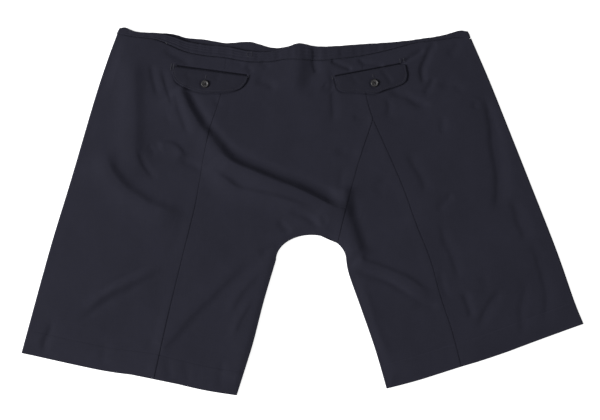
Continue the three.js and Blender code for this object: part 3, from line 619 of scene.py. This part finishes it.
def wall(name, outer, inner, ring=False):
    """A closed piece between two grids of points with the same rows and columns."""
    rows, cols = outer.shape[:2]
    vertices = np.vstack([outer.reshape(-1, 3), inner.reshape(-1, 3)])
    index = np.arange(rows * cols).reshape(rows, cols)
    if ring:
        index = np.hstack([index, index[:, :1]])
    back = index + rows * cols

    def quads(a, b, c, d):
        return np.stack([a, b, c, d], -1).reshape(-1, 4)

    faces = [
        quads(index[:-1, :-1], index[1:, :-1], index[1:, 1:], index[:-1, 1:]),
        quads(back[:-1, :-1], back[:-1, 1:], back[1:, 1:], back[1:, :-1]),
        quads(index[0, :-1], index[0, 1:], back[0, 1:], back[0, :-1]),
        quads(index[-1, :-1], back[-1, :-1], back[-1, 1:], index[-1, 1:]),
    ]
    if not ring:
        faces += [
            quads(index[:-1, 0], back[:-1, 0], back[1:, 0], index[1:, 0]),
            quads(index[:-1, -1], index[1:, -1], back[1:, -1], back[:-1, -1]),
        ]
    faces = np.vstack(faces)
    if enclosed(vertices, faces) < 0:
        faces = faces[:, ::-1]
    return mesh_object(name, vertices, faces)


def stacked(plan, height):
    return np.concatenate([plan, height[..., None]], -1)


# ================ back pieces
def back_piece(name, left, right, top, bottom, u, v):
    plan = patch(left, right, top, bottom, u, v)
    outer, under = upper_ply(plan[..., 0], plan[..., 1])
    return wall(name, stacked(plan, outer), stacked(plan, under))


def to_hem(length):
    """Shares down a piece of such a length, closer at the hem's stitched line."""
    return stations(length, STEP, inner=(length - HEM_DEPTH - 1,))


def seat_piece():
    left = moved(curves["side_left_upper"], -HALF_GAP)
    right = moved(chain(curves["side_right_upper"], curves["gusset_upper"]), HALF_GAP)
    bottom = moved(curves["seat_to_left_leg"], -HALF_GAP)
    top = between(left[0], right[0], lambda x: waist_seam(x) - HALF_GAP)
    u = stations(length_of(bottom), STEP, fine=SEAT_COLUMNS)
    v = stations(length_of(left), 0.7 * STEP, fine=SEAT_ROWS)
    return back_piece("back_seat_cloth", left, right, top, bottom, u, v)


def left_leg_piece():
    left = moved(curves["side_left_lower"], -HALF_GAP)
    right = chain(
        moved(curves["gusset_lower"], HALF_GAP),
        crotch_arc(GUSSET_DEGREES, 180),
        curves["inseam_left"],
    )
    top = moved(curves["seat_to_left_leg"], HALF_GAP)
    bottom = between(left[-1], right[-1], hem_over["left"])
    u = stations(0.8 * length_of(top), STEP)  # the leg is narrower below
    return back_piece("back_left_leg_cloth", left, right, top, bottom, u, to_hem(length_of(left)))


def right_leg_piece():
    left = chain(
        moved(curves["gusset_upper"], -HALF_GAP),
        moved(curves["gusset_lower"], -HALF_GAP),
        crotch_arc(GUSSET_DEGREES, 0),
        curves["inseam_right"],
    )
    right = moved(curves["side_right_lower"], HALF_GAP)
    tip = 0.005  # the share that is cut off where the two seams meet
    left, right = (at(edge, np.linspace(tip, 1, 8 * DENSE)) for edge in (left, right))
    top = np.linspace(left[0], right[0], 12)
    bottom = between(left[-1], right[-1], hem_over["right"])
    u = stations(length_of(bottom), STEP)
    return back_piece("back_right_leg_cloth", left, right, top, bottom, u, to_hem(length_of(left)))


# ================ front pieces
CENTRE_FRONT = 24.0  # x of the seam between the two fronts at the waist


def front_waist_seam(x):
    """Where the lower ply meets the band."""
    return waist_front(x) - waist_back(x) + waist_seam(x) - UNDERLAP


def arc_section(centre, outwards, middle, radius, steps):
    """Rows of points round a turn, from the table up, without its two ends."""
    angle = np.linspace(0, math.pi, steps + 1)[1:-1]
    plan = centre[:, None, :] + outwards[:, None, :] * (radius * np.sin(angle))[None, :, None]
    height = np.broadcast_to(middle - radius * np.cos(angle), plan.shape[:2])
    return stacked(plan, height)


def front_piece(side, outward, arc_end):
    """From the centre front and inseam, across the table, round the fold, to the back seam."""
    edge, hem = curves[f"outer_{side}"], hem_over[side]
    back_seam = chain(curves[f"side_{side}_upper"], curves[f"side_{side}_lower"])
    length = length_of(edge)
    v = stations(length, FRONT_STEP, inner=(length - HEM_DEPTH - 1,), fine=FLAP_ROWS[side])
    outwards = normals(at(edge, v)) * -outward
    full_turn = edge - FOLD_RADIUS * (normals(edge) * -outward)
    turn = at(full_turn, v)
    arc = crotch_arc(crotch_degrees(CENTRE_FRONT), arc_end)
    waist_start = np.array([CENTRE_FRONT, front_waist_seam(CENTRE_FRONT)])
    inner_edge = chain(
        np.linspace(waist_start, arc[0], DENSE), arc, curves[f"inseam_{side}"]
    )
    inner_edge = moved(inner_edge, -outward * HALF_GAP)
    front_seam = between(inner_edge[0], full_turn[0], lambda x: front_waist_seam(x) - HALF_GAP)
    lower = patch(
        inner_edge, full_turn, front_seam, between(inner_edge[-1], full_turn[-1], hem),
        np.linspace(0, 1, LOWER_COLUMNS), v,
    )
    back_seam = moved(back_seam, outward * -HALF_GAP)
    top = between(full_turn[0], back_seam[0], lambda x: waist_seam(x) - HALF_GAP)
    bottom = between(full_turn[-1], back_seam[-1], hem)
    u = stations(length_of(bottom), FRONT_STEP, ends=(False, True), fine=(FLAP_COLUMNS[side],))
    upper = patch(full_turn, back_seam, top, bottom, u, v)
    outer, under = upper_ply(upper[..., 0], upper[..., 1])
    away = smooth(np.hypot(*(upper - turn[:, None, :]).transpose(2, 0, 1)), 0, FOLD_REACH)
    outer = 2 * FOLD_RADIUS * (1 - away) + outer * away
    under = (2 * FOLD_RADIUS - SHELL) * (1 - away) + under * away
    table = np.zeros(lower.shape[:2])
    faces = []
    for base, radius, height in ((0, FOLD_RADIUS, outer), (SHELL, FOLD_RADIUS - SHELL, under)):
        faces.append(np.concatenate([
            stacked(lower, table + base),
            arc_section(turn, outwards, FOLD_RADIUS, radius, TURN_STEPS),
            stacked(upper, height),
        ], 1))
    return wall(f"front_{side}_cloth", *faces)


# ================ waistband
BAND_STEP = 1.4
BAND_ROWS = 24
BAND_SLANT = 5  # how far in the band's top corners lie
BAND_SHORT = 1.6  # how far its right end stays in from the fold
GATHERS = [(7.9, 0.04), (12.7, 0.09), (21, 0.14), (34, 0.14)]  # wavelength and height
SCALLOP = {"height": 0.9, "back": 0.8, "fade": 30}  # the gathers' waves in the top edge
STITCH_ROWS = [(0.2, 0.8), (0.43, 0.6), (0.67, 0.8)]  # place from the top edge, and depth
STITCH_WIDTH = 0.9
BAND_SEAM = {"share": 0.8, "radius": 1.3}  # rounding along its seam
INNER_RELIEF = 0.6  # how much of the relief shows on the front's inner face


def gathered(x, phase):
    total = np.zeros(x.shape)
    for k, (length, height) in enumerate(GATHERS):
        total += height * np.sin(2 * math.pi * x / length + phase + 1.7 * k + 1.3 * np.sin(x / 37 + k))
    return total


def waistband_piece():
    left = curves["outer_left"][0, 0] + FOLD_RADIUS
    right = curves["outer_right"][0, 0] - FOLD_RADIUS - BAND_SHORT
    share = np.linspace(0, 1, int((right - left) / BAND_STEP) + 1)
    v = 0.5 - 0.5 * np.cos(np.linspace(0, math.pi, BAND_ROWS + 1))
    down = v[:, None]
    first = left + BAND_SLANT * (1 - down) ** 2
    last = right - BAND_SLANT * (1 - down) ** 2
    x = first + share * (last - first)
    from_ends = np.minimum(x - first, last - x)
    scallop = SCALLOP["height"] * gathered(x, 0.4) * smooth(from_ends, 0, SCALLOP["fade"])
    front_y = (waist_front(x) + scallop) * (1 - down) + (front_waist_seam(x) + HALF_GAP) * down
    back_top = waist_back(x) + SCALLOP["back"] * scallop
    back_y = back_top * (1 - down) + (waist_seam(x) + HALF_GAP) * down
    wide = waist_back(x) - waist_seam(x)
    near_top = down * wide
    near_seam = (1 - down) * wide
    away = smooth(from_ends, 0, FOLD_REACH)
    rows = sum(
        depth * np.exp(-(((down - row) * wide / STITCH_WIDTH) ** 2)) for row, depth in STITCH_ROWS
    )
    elastic = gathered(x, 0.0) * np.sin(math.pi * np.clip(down, 0.05, 1)) ** 0.5
    relief = away * (elastic - rows)
    base = CLOTH + LAY_GAP + (BAND - CLOTH) + lift(x, back_y) + BAND
    low_edge = BAND_SEAM["share"] * rounding(near_seam, BAND_SEAM["radius"])
    top_edge = rounding(near_top, BAND / 2)
    back_outer = 2 * BAND_RADIUS * (1 - away) + base * away + relief - low_edge - top_edge
    back_under = (2 * BAND_RADIUS - BAND) * (1 - away) + (base - BAND) * away + top_edge
    back_under = np.minimum(back_under, back_outer - LEAST)
    front_outer = np.zeros(back_y.shape)
    inside = INNER_RELIEF * np.maximum(relief, -0.5) * np.clip(near_top / 2, 0, 1)
    front_under = BAND - top_edge + inside
    grids = []
    for low, radius, high in (
        (front_outer, BAND_RADIUS, back_outer),
        (front_under, BAND_RADIUS - BAND, back_under),
    ):
        turns = []
        for column, outward in ((-1, 1.0), (0, -1.0)):
            centre = np.column_stack([x[:, column], back_y[:, column]])
            outwards = np.tile([outward, 0.0], (len(v), 1))
            turns.append(arc_section(centre, outwards, BAND_RADIUS, radius, TURN_STEPS))
        front = stacked(np.stack([x, front_y], -1), low)
        back = stacked(np.stack([x, back_y], -1), high)
        grids.append(np.concatenate([front, turns[0], back[:, ::-1], turns[1][:, ::-1]], 1))
    return wall("waistband_cloth", *grids, ring=True)


# ================ flaps
def flap_point(flap, out, depth):
    """A place on a flap: out from the middle of its top edge, and down from that edge."""
    tilt = math.radians(flap["tilt"])
    along = out * flap["outward"]
    return np.stack([
        flap["x"] + along * math.cos(tilt) + depth * math.sin(tilt),
        flap["y"] + along * math.sin(tilt) - depth * math.cos(tilt),
    ], -1)


def flap_edge(flap, out):
    return over(spline(flap["edge"]))(out)


def flap_outs(flap):
    return np.linspace(flap["edge"][0][0], flap["edge"][-1][0], 2 * DENSE)


def flap_top(flap, out):
    """How far down the top edge is, where the outer corner is rounded."""
    short = np.clip(out - (flap["edge"][-1][0] - TOP_CORNER), 0, TOP_CORNER)
    return 0.9 * (TOP_CORNER - np.sqrt(TOP_CORNER**2 - short**2))


def panel_face(plan):
    """The panel's face without its seams' grooves, which a flap bridges."""
    return CLOTH + LAY_GAP + lift(plan[..., 0], plan[..., 1]) + CLOTH


def flap_height(flap, out, depth, plan):
    """Heights of a flap's outer face and underside."""
    outs = flap_outs(flap)
    edge_line = np.column_stack([outs, flap_edge(flap, outs)])
    gap, _, _ = nearest(edge_line, out, depth)
    gap = np.clip(np.minimum(gap, np.minimum(out - outs[0], outs[-1] - out)), 0, None)
    # the free edge springs up most in the middle, and least at the left end
    from_left = np.abs(out - (outs[0] if flap["outward"] > 0 else outs[-1]))
    springs = 0.3 + 0.7 * smooth(from_left, 10, 60) - 0.75 * smooth(from_left, 90, 126)
    free = smooth(depth, 0, 26) * (1 - smooth(gap, 0, 24))
    under = panel_face(plan) + FLAP_LIFT + FLAP_SPRING * springs * free
    crown = FLAP_CROWN * smooth(gap, 0, 14) * smooth(depth, 0, 12)
    for rise, width, path in flap["creases"]:
        crown = crown + rise * bell(evenly(spline(path), 12), width, out, depth, fade=0.3)
    stitched = np.exp(-(((gap - TOPSTITCH["in"]) / TOPSTITCH["width"]) ** 2)) * smooth(depth, 2, 6)
    tucked = 1 - smooth(depth, 0, TUCK["width"])
    ring = np.hypot(out - BUTTON["out"], depth - BUTTON["depth"]) - BUTTON["radius"] - PULLED["out"]
    pulled = np.exp(-((ring / PULLED["width"]) ** 2))
    outer = under + FLAP + crown - TOPSTITCH["depth"] * stitched - rounding(gap, FLAP_ROUND)
    outer = outer - TUCK["depth"] * tucked - PULLED["depth"] * pulled
    return outer, np.minimum(under, outer - LEAST)


def flap_piece(side):
    flap = FLAPS[side]
    first, last = flap_outs(flap)[[0, -1]]
    middle = np.linspace(first + CLOSE[3], last - CLOSE[3], FLAP_OUTS)
    outs = np.concatenate([first + FLAP_CLOSE, middle, last - FLAP_CLOSE[::-1]])
    out = np.broadcast_to(outs, (len(FLAP_SHARES), len(outs)))
    top, edge = flap_top(flap, outs), flap_edge(flap, outs)
    depth = top + np.maximum(edge - top, 0.5) * FLAP_SHARES[:, None]
    plan = flap_point(flap, out, depth)
    outer, under = flap_height(flap, out, depth, plan)
    return wall(f"flap_{side}_cloth", stacked(plan, outer), stacked(plan, under))


def slit_shade_strip(side):
    """A near-black strip in the opening over a flap: painted shade for the deep gap there."""
    flap = FLAPS[side]
    outs = np.linspace(flap["slit"][0] + 1, flap["slit"][1] - 1, 90)
    rows = np.array([0.9, 0.3, -0.6, -1.7, -2.3])
    out = np.broadcast_to(outs, (len(rows), len(outs)))
    depth = np.broadcast_to(rows[:, None], out.shape)
    plan = flap_point(flap, out, depth)
    top = panel_face(plan) - 1.2 + 1.1 * np.clip(-depth - 1.4, 0, 1)
    return wall(f"flap_{side}_opening", stacked(plan, top), stacked(plan, top - 2 * LEAST))


# ================ stitches
def bead_row(name, starts, ends, width, height):
    """One mesh of stitches, each a low rounded bead from a start to an end in 3D."""
    sides, sections = 6, ((0.0, 0.25), (0.25, 1.0), (0.75, 1.0), (1.0, 0.25))
    vertices, faces = [], []
    for start, end in zip(np.asarray(starts, float), np.asarray(ends, float)):
        along = end - start
        across = np.cross([0, 0, 1], along)
        across /= max(np.linalg.norm(across), 1e-9)
        up = np.cross(along, across)
        up /= max(np.linalg.norm(up), 1e-9)
        first = len(vertices)
        for share, size in sections:
            for k in range(sides):
                angle = 2 * math.pi * k / sides
                offset = across * math.cos(angle) * width / 2 + up * math.sin(angle) * height / 2
                vertices.append(start + along * share + offset * size)
        last = first + (len(sections) - 1) * sides
        for ring in range(first, last, sides):
            for k in range(sides):
                a, b = ring + k, ring + (k + 1) % sides
                faces.append((a, b, b + sides, a + sides))
        faces += [tuple(range(first + sides - 1, first - 1, -1)), tuple(range(last, last + sides))]
    return mesh_object(name, vertices, faces)


def on_flap(flap, points, above=0.1):
    """Places in space of pairs of out and depth, on a flap or on the panel beside it."""
    plan = flap_point(flap, points[..., 0], points[..., 1])
    face, _ = flap_height(flap, points[..., 0], np.maximum(points[..., 1], TUCK["width"]), plan)
    panel, _ = upper_ply(plan[..., 0], plan[..., 1])
    outs = flap_outs(flap)
    beside = (points[..., 0] < outs[0]) | (points[..., 0] > outs[-1])
    return stacked(plan, np.where(beside, panel + 0.25, face + above))


def flap_stitches(side):
    """The topstitching round a flap and the buttonhole."""
    flap = FLAPS[side]
    outs = flap_outs(flap)
    line = moved(np.column_stack([outs, flap_edge(flap, outs)]), TOPSTITCH["in"])
    line = line[(line[:, 1] > 1.5) & (line[:, 0] > outs[0] + 2.5) & (line[:, 0] < outs[-1] - 2.5)]
    count = int(length_of(line) / TOPSTITCH["pitch"])
    starts = at(line, np.arange(count) / count)
    ends = at(line, (np.arange(count) + TOPSTITCH["share"]) / count)
    pairs = list(zip(starts, ends))
    for k in range(BUTTONHOLE["rows"]):
        depth = BUTTON["depth"] - BUTTONHOLE["above"] + BUTTONHOLE["pitch"] * k
        pairs.append([(BUTTON["out"] + sign * BUTTONHOLE["half"], depth) for sign in (-1, 1)])
    placed = on_flap(flap, np.array(pairs))
    return bead_row(f"flap_{side}_stitches", placed[:, 0], placed[:, 1], 0.7, 0.5)


def bar_tacks(side):
    """Close rows of thread across each end of the opening over a flap."""
    flap = FLAPS[side]
    pairs = []
    for middle, top, bottom in flap["tacks"]:
        for k in range(int((bottom - top) / TACK["pitch"])):
            depth = top + TACK["pitch"] * k
            pairs.append([(middle - TACK["half"], depth), (middle + TACK["half"], depth + 0.1)])
    placed = on_flap(flap, np.array(pairs), 0.3)
    return bead_row(f"flap_{side}_tacks", placed[:, 0], placed[:, 1], 0.6, 0.6)


BAND_MARK = {"x": -94, "y": 278.5, "width": 9, "height": 7}  # a square stitched through the band


def band_mark():
    """The square of stitches that holds the elastic."""
    w, h = BAND_MARK["width"] / 2, BAND_MARK["height"] / 2
    corners = np.array([(-w, -h), (w, -h), (w, h), (-w, h), (-w, -h)])
    line = at(corners, np.linspace(0, 1, 17)) + (BAND_MARK["x"], BAND_MARK["y"])
    height = CLOTH + LAY_GAP + (BAND - CLOTH) + lift(line[:, 0], waist_back(line[:, 0])) + BAND + 0.3
    points = stacked(line, height)
    ends = points[:-1] + 0.8 * (points[1:] - points[:-1])
    return bead_row("waistband_mark", points[:-1], ends, 0.8, 0.6)


# ================ buttons
def turned(name, profile, sides):
    """A solid turned from pairs of radius and height, both ends on its axis."""
    angle = 2 * math.pi * np.arange(sides) / sides
    circle = np.column_stack([np.cos(angle), np.sin(angle)])
    rings = [stacked(radius * circle, np.full(sides, height)) for radius, height in profile[1:-1]]
    vertices = np.vstack([(0, 0, profile[0][1]), *rings, (0, 0, profile[-1][1])])
    last = 1 + (len(rings) - 1) * sides
    faces = []
    for k in range(sides):
        after = (k + 1) % sides
        faces.append((0, 1 + after, 1 + k))
        for first in range(1, last, sides):
            a, b = first + k, first + after
            faces.append((a, b, b + sides, a + sides))
        faces.append((last + k, last + after, len(vertices) - 1))
    return mesh_object(name, vertices, faces)


def cut_holes(disc):
    """Cuts a button's four holes."""
    cutters = []
    for dx, dy in ((1, 1), (1, -1), (-1, -1), (-1, 1)):
        bpy.ops.mesh.primitive_cylinder_add(
            vertices=20, radius=BUTTON["hole"] * MM, depth=4 * BUTTON["thickness"] * MM,
            location=(dx * BUTTON["offset"] * MM, dy * BUTTON["offset"] * MM, 0),
        )
        cutters.append(bpy.context.object)
        cut = disc.modifiers.new("hole", "BOOLEAN")
        cut.operation = "DIFFERENCE"
        cut.solver = "EXACT"
        cut.object = cutters[-1]
    bpy.context.view_layer.update()
    seen = disc.evaluated_get(bpy.context.evaluated_depsgraph_get())
    made = bpy.data.meshes.new_from_object(seen)
    disc.modifiers.clear()
    disc.data = made
    for cutter in cutters:
        bpy.data.objects.remove(cutter)


def button_piece(side):
    """A dished disc with a raised rim and four holes, and its thread."""
    flap = FLAPS[side]
    seat = flap_point(flap, BUTTON["out"], BUTTON["depth"])
    r, t, e = BUTTON["radius"], BUTTON["thickness"], BUTTON["edge"]
    floor = t - BUTTON["dish"]
    top = r - BUTTON["bevel"]
    disc = turned(f"button_{side}_disc", [
        (0, 0), (r - 2 * e, 0), (r - e, 0.15), (r - 0.3, 0.45), (r, e + 0.2), (r, t - 1.6),
        (r - 0.25, t - 1.2), (top + 0.1, t - 0.25), (top - 0.25, t), (top - 0.9, t),
        (top - 1.3, t - 0.25), (top - 1.9, floor + 0.1), (top - 2.5, floor), (0, floor - 0.1),
    ], 64)
    cut_holes(disc)
    around = np.linspace(0, 2 * math.pi, 12, endpoint=False)
    out, depth = BUTTON["out"] + r * np.cos(around), BUTTON["depth"] + r * np.sin(around)
    face, _ = flap_height(flap, out, depth, flap_point(flap, out, depth))
    level = float(face.max()) + BUTTON["clearance"]
    co = np.array([v.co for v in disc.data.vertices]) + np.array([*seat, level]) * MM
    disc.data.vertices.foreach_set("co", co.astype(np.float32).ravel())
    disc.data.update()
    # faces beyond the top's edge, the bevel, take the second, near-black finish: a painted shade ring
    # round the button
    for polygon in disc.data.polygons:
        polygon.use_smooth = True
        from_middle = math.hypot(*(polygon.center[k] / MM - seat[k] for k in (0, 1)))
        polygon.material_index = int(from_middle > top + 0.15)
    # two turns of thread across the dish, from one hole to the one opposite
    holes = BUTTON["offset"] * np.array([(-1, -1), (1, 1)] if side == "left" else [(-1, 1), (1, -1)])
    square = np.array([holes[0, 1], -holes[0, 0]]) / np.hypot(*holes[0])
    turns = [holes + shift * square + seat for shift in (-0.3, 0.3)]
    starts, ends = ([(*turn[k], level + floor + 0.1) for turn in turns] for k in (0, 1))
    return disc, bead_row(f"button_{side}_thread", starts, ends, 0.55, 0.7)


# ================ materials
def material(name, sockets):
    """A new material, its nodes and links, and its shader with such values."""
    made = bpy.data.materials.new(name)
    made.use_nodes = True
    nodes, links = made.node_tree.nodes, made.node_tree.links
    shader = nodes["Principled BSDF"]
    for socket, value in sockets.items():
        shader.inputs[socket].default_value = value
    return made, nodes, links, shader


def add(nodes, kind, settings):
    node = nodes.new(kind)
    for key, value in settings.items():
        if key in node.inputs:
            node.inputs[key].default_value = value
        else:
            setattr(node, key, value)
    return node


def cloth_material(name, colour, sheen):
    """Fine plain weave: threads in both directions, slightly uneven in tone and thickness."""
    made, nodes, links, shader = material(name, {
        "Roughness": 0.8, "Specular IOR Level": 0.1, "Sheen Weight": sheen, "Sheen Roughness": 0.45,
        "Sheen Tint": (0.75, 0.78, 1.0, 1.0),
    })
    place = add(nodes, "ShaderNodeTexCoord", {})

    def noise(stretch, scale, detail):
        mapping = add(nodes, "ShaderNodeMapping", {"Scale": stretch})
        links.new(place.outputs["Object"], mapping.inputs["Vector"])
        settings = {"Scale": scale, "Detail": detail, "Roughness": 0.55}
        texture = add(nodes, "ShaderNodeTexNoise", settings)
        links.new(mapping.outputs["Vector"], texture.inputs["Vector"])
        return texture.outputs["Fac"]

    def threads(direction):
        texture = add(nodes, "ShaderNodeTexWave", {
            "Scale": 520.0, "Distortion": 0.6, "Detail": 1.0, "Detail Scale": 1.2,
            "bands_direction": direction,
        })
        links.new(place.outputs["Object"], texture.inputs["Vector"])
        return texture.outputs["Fac"]

    def joined(operation, a, b):
        node = add(nodes, "ShaderNodeMath", {"operation": operation})
        for socket, value in zip(node.inputs, (a, b)):
            if isinstance(value, float):
                socket.default_value = value
            else:
                links.new(value, socket)
        return node.outputs["Value"]

    def times(a, b):
        return joined("MULTIPLY", a, b)

    def plus(a, b):
        return joined("ADD", a, b)

    weave = times(threads("X"), threads("Y"))
    slub = plus(noise((1, 14, 1), 70, 3), noise((14, 1, 1), 70, 3))
    cloudy = times(noise((1, 1, 1), 9, 2), 0.5)
    tone = plus(plus(cloudy, times(slub, 0.35)), times(weave, 0.22))
    ramp = add(nodes, "ShaderNodeMapRange", {"From Min": 0.35, "From Max": 1.0})
    links.new(tone, ramp.inputs["Value"])
    mix = add(nodes, "ShaderNodeMix", {
        "data_type": "RGBA", "A": (*[c * 0.8 for c in colour], 1), "B": (*[c * 1.2 for c in colour], 1),
    })
    links.new(ramp.outputs["Result"], mix.inputs["Factor"])
    links.new(mix.outputs["Result"], shader.inputs["Base Color"])
    bump = add(nodes, "ShaderNodeBump", {"Strength": 0.5, "Distance": 0.00018})
    links.new(plus(weave, times(slub, 0.6)), bump.inputs["Height"])
    links.new(bump.outputs["Normal"], shader.inputs["Normal"])
    return made


def two_tone(name, kind, settings, colours, stops, roughness, specular):
    """A plain finish that a texture varies between two colours."""
    made, nodes, links, shader = material(name, {
        "Roughness": roughness, "Specular IOR Level": specular,
    })
    place = add(nodes, "ShaderNodeTexCoord", {})
    figure = add(nodes, kind, settings)
    links.new(place.outputs["Object"], figure.inputs["Vector"])
    ramp = add(nodes, "ShaderNodeValToRGB", {})
    for element, colour, stop in zip(ramp.color_ramp.elements, colours, stops):
        element.position = stop
        element.color = (*colour, 1)
    links.new(figure.outputs["Fac"], ramp.inputs["Fac"])
    links.new(ramp.outputs["Color"], shader.inputs["Base Color"])
    return made


def horn_material():
    """Satin dark resin with a faint cloudy figure."""
    cloudy = {"Scale": 260.0, "Detail": 4.0, "Distortion": 1.2}
    colours = [(0.026, 0.025, 0.027), (0.060, 0.058, 0.060)]
    return two_tone("dark_horn_resin", "ShaderNodeTexNoise", cloudy, colours, (0.35, 0.7), 0.42, 0.4)


def thread_material(name, dark, light, specular=0.3):
    twist = {"Scale": 900.0, "Distortion": 2.0, "bands_direction": "DIAGONAL"}
    return two_tone(name, "ShaderNodeTexWave", twist, (dark, light), (0, 1), 0.6, specular)


NAVY = (0.0195, 0.0195, 0.0305)
suiting = cloth_material("navy_suiting", NAVY, 0.06)
band_cloth = cloth_material("navy_waistband", tuple(0.95 * c for c in NAVY), 0.06)
# the flaps' cloth is made darker than the panels'
flap_cloth = cloth_material("navy_flap", tuple(0.86 * c for c in NAVY), 0.05)
horn = horn_material()
thread = thread_material("navy_thread", (0.012, 0.012, 0.019), (0.032, 0.032, 0.046))
# the bar tacks and the band's square: a lighter copy of the navy thread, a painted sheen where light
# catches the thread
painted_sheen_thread = thread_material("painted_sheen_thread", (0.022, 0.022, 0.030), (0.042, 0.042, 0.055))
# a near-black sheet in each opening over a flap: painted shade, where the opening is only shaded
slit_painted_shade = thread_material(
    "slit_painted_shade", (0.007, 0.007, 0.0105), (0.01, 0.01, 0.0145), 0.02
)
# near-black: on a button's bevel it is painted shade round the rim; it also colours the button's thread
button_rim_shade_and_thread = thread_material("button_rim_shade_and_thread", (0.006, 0.0058, 0.0064), (0.0085, 0.0082, 0.009), 0.1)


def dress(obj, finish, node=None):
    obj.data.materials.append(finish)
    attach(obj, "root")
    if node:
        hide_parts(node)
    return obj


cloths = {
    "front_left": front_piece("left", -1, 180),
    "front_right": front_piece("right", 1, 0),
    "back_seat": seat_piece(),
    "back_left_leg": left_leg_piece(),
    "back_right_leg": right_leg_piece(),
    "waistband": waistband_piece(),
    "flap_left": flap_piece("left"),
    "flap_right": flap_piece("right"),
}
finishes = {"waistband": band_cloth, "flap_left": flap_cloth, "flap_right": flap_cloth}
for node, obj in cloths.items():
    dress(obj, finishes.get(node, suiting), node)
# the band's square of stitches takes the lighter thread, a painted sheen
dress(band_mark(), painted_sheen_thread)
for side in FLAPS:
    dress(flap_stitches(side), thread)
    dress(bar_tacks(side), painted_sheen_thread)
    dress(slit_shade_strip(side), slit_painted_shade)
    disc, sewing = button_piece(side)
    dress(disc, horn, f"button_{side}")
    disc.data.materials.append(button_rim_shade_and_thread)
    dress(sewing, button_rim_shade_and_thread)

# ================ stage
PIXEL = 1.78 * MM  # what a pixel of the photo spans at the cloth
PHOTO_WIDTH = 600 * PIXEL
PHOTO_MIDDLE = (-2.5 * PIXEL, PIXEL)
CAMERA_HEIGHT = 3.0
SENSOR = 36.0

bpy.ops.mesh.primitive_plane_add(size=14, location=(0, 0, -0.0002))
floor = bpy.context.object
floor.name = "table"
white_table = material("white_table", {
    "Base Color": (0.9, 0.9, 0.9, 1), "Roughness": 0.9, "Emission Color": (1, 1, 1, 1),
    "Emission Strength": 0.75,
})[0]
floor.data.materials.append(white_table)

world = bpy.data.worlds.new("studio")
world.use_nodes = True
background = world.node_tree.nodes["Background"].inputs
background["Color"].default_value = (1, 1, 1, 1)
background["Strength"].default_value = 0.36
bpy.context.scene.world = world

KEY = {"distance": 7.0, "elevation": 28, "azimuth": 184, "size": 3.0, "power": 640}
key_data = bpy.data.lights.new("key", "AREA")
key_data.shape = "SQUARE"
key_data.size = KEY["size"]
key_data.energy = KEY["power"]
key = bpy.data.objects.new("key", key_data)
bpy.context.scene.collection.objects.link(key)
elevation, azimuth = math.radians(KEY["elevation"]), math.radians(KEY["azimuth"])
key.location = (
    KEY["distance"] * math.cos(elevation) * math.cos(azimuth),
    KEY["distance"] * math.cos(elevation) * math.sin(azimuth),
    KEY["distance"] * math.sin(elevation),
)
key.rotation_euler = (-key.location).to_track_quat("-Z", "Y").to_euler()

camera_data = bpy.data.cameras.new("camera")
camera_data.sensor_width = SENSOR
camera_data.lens = SENSOR * CAMERA_HEIGHT / PHOTO_WIDTH
camera = bpy.data.objects.new("camera", camera_data)
camera.location = (*PHOTO_MIDDLE, CAMERA_HEIGHT)
bpy.context.scene.collection.objects.link(camera)
bpy.context.scene.camera = camera
bpy.context.scene.view_settings.view_transform = "Standard"
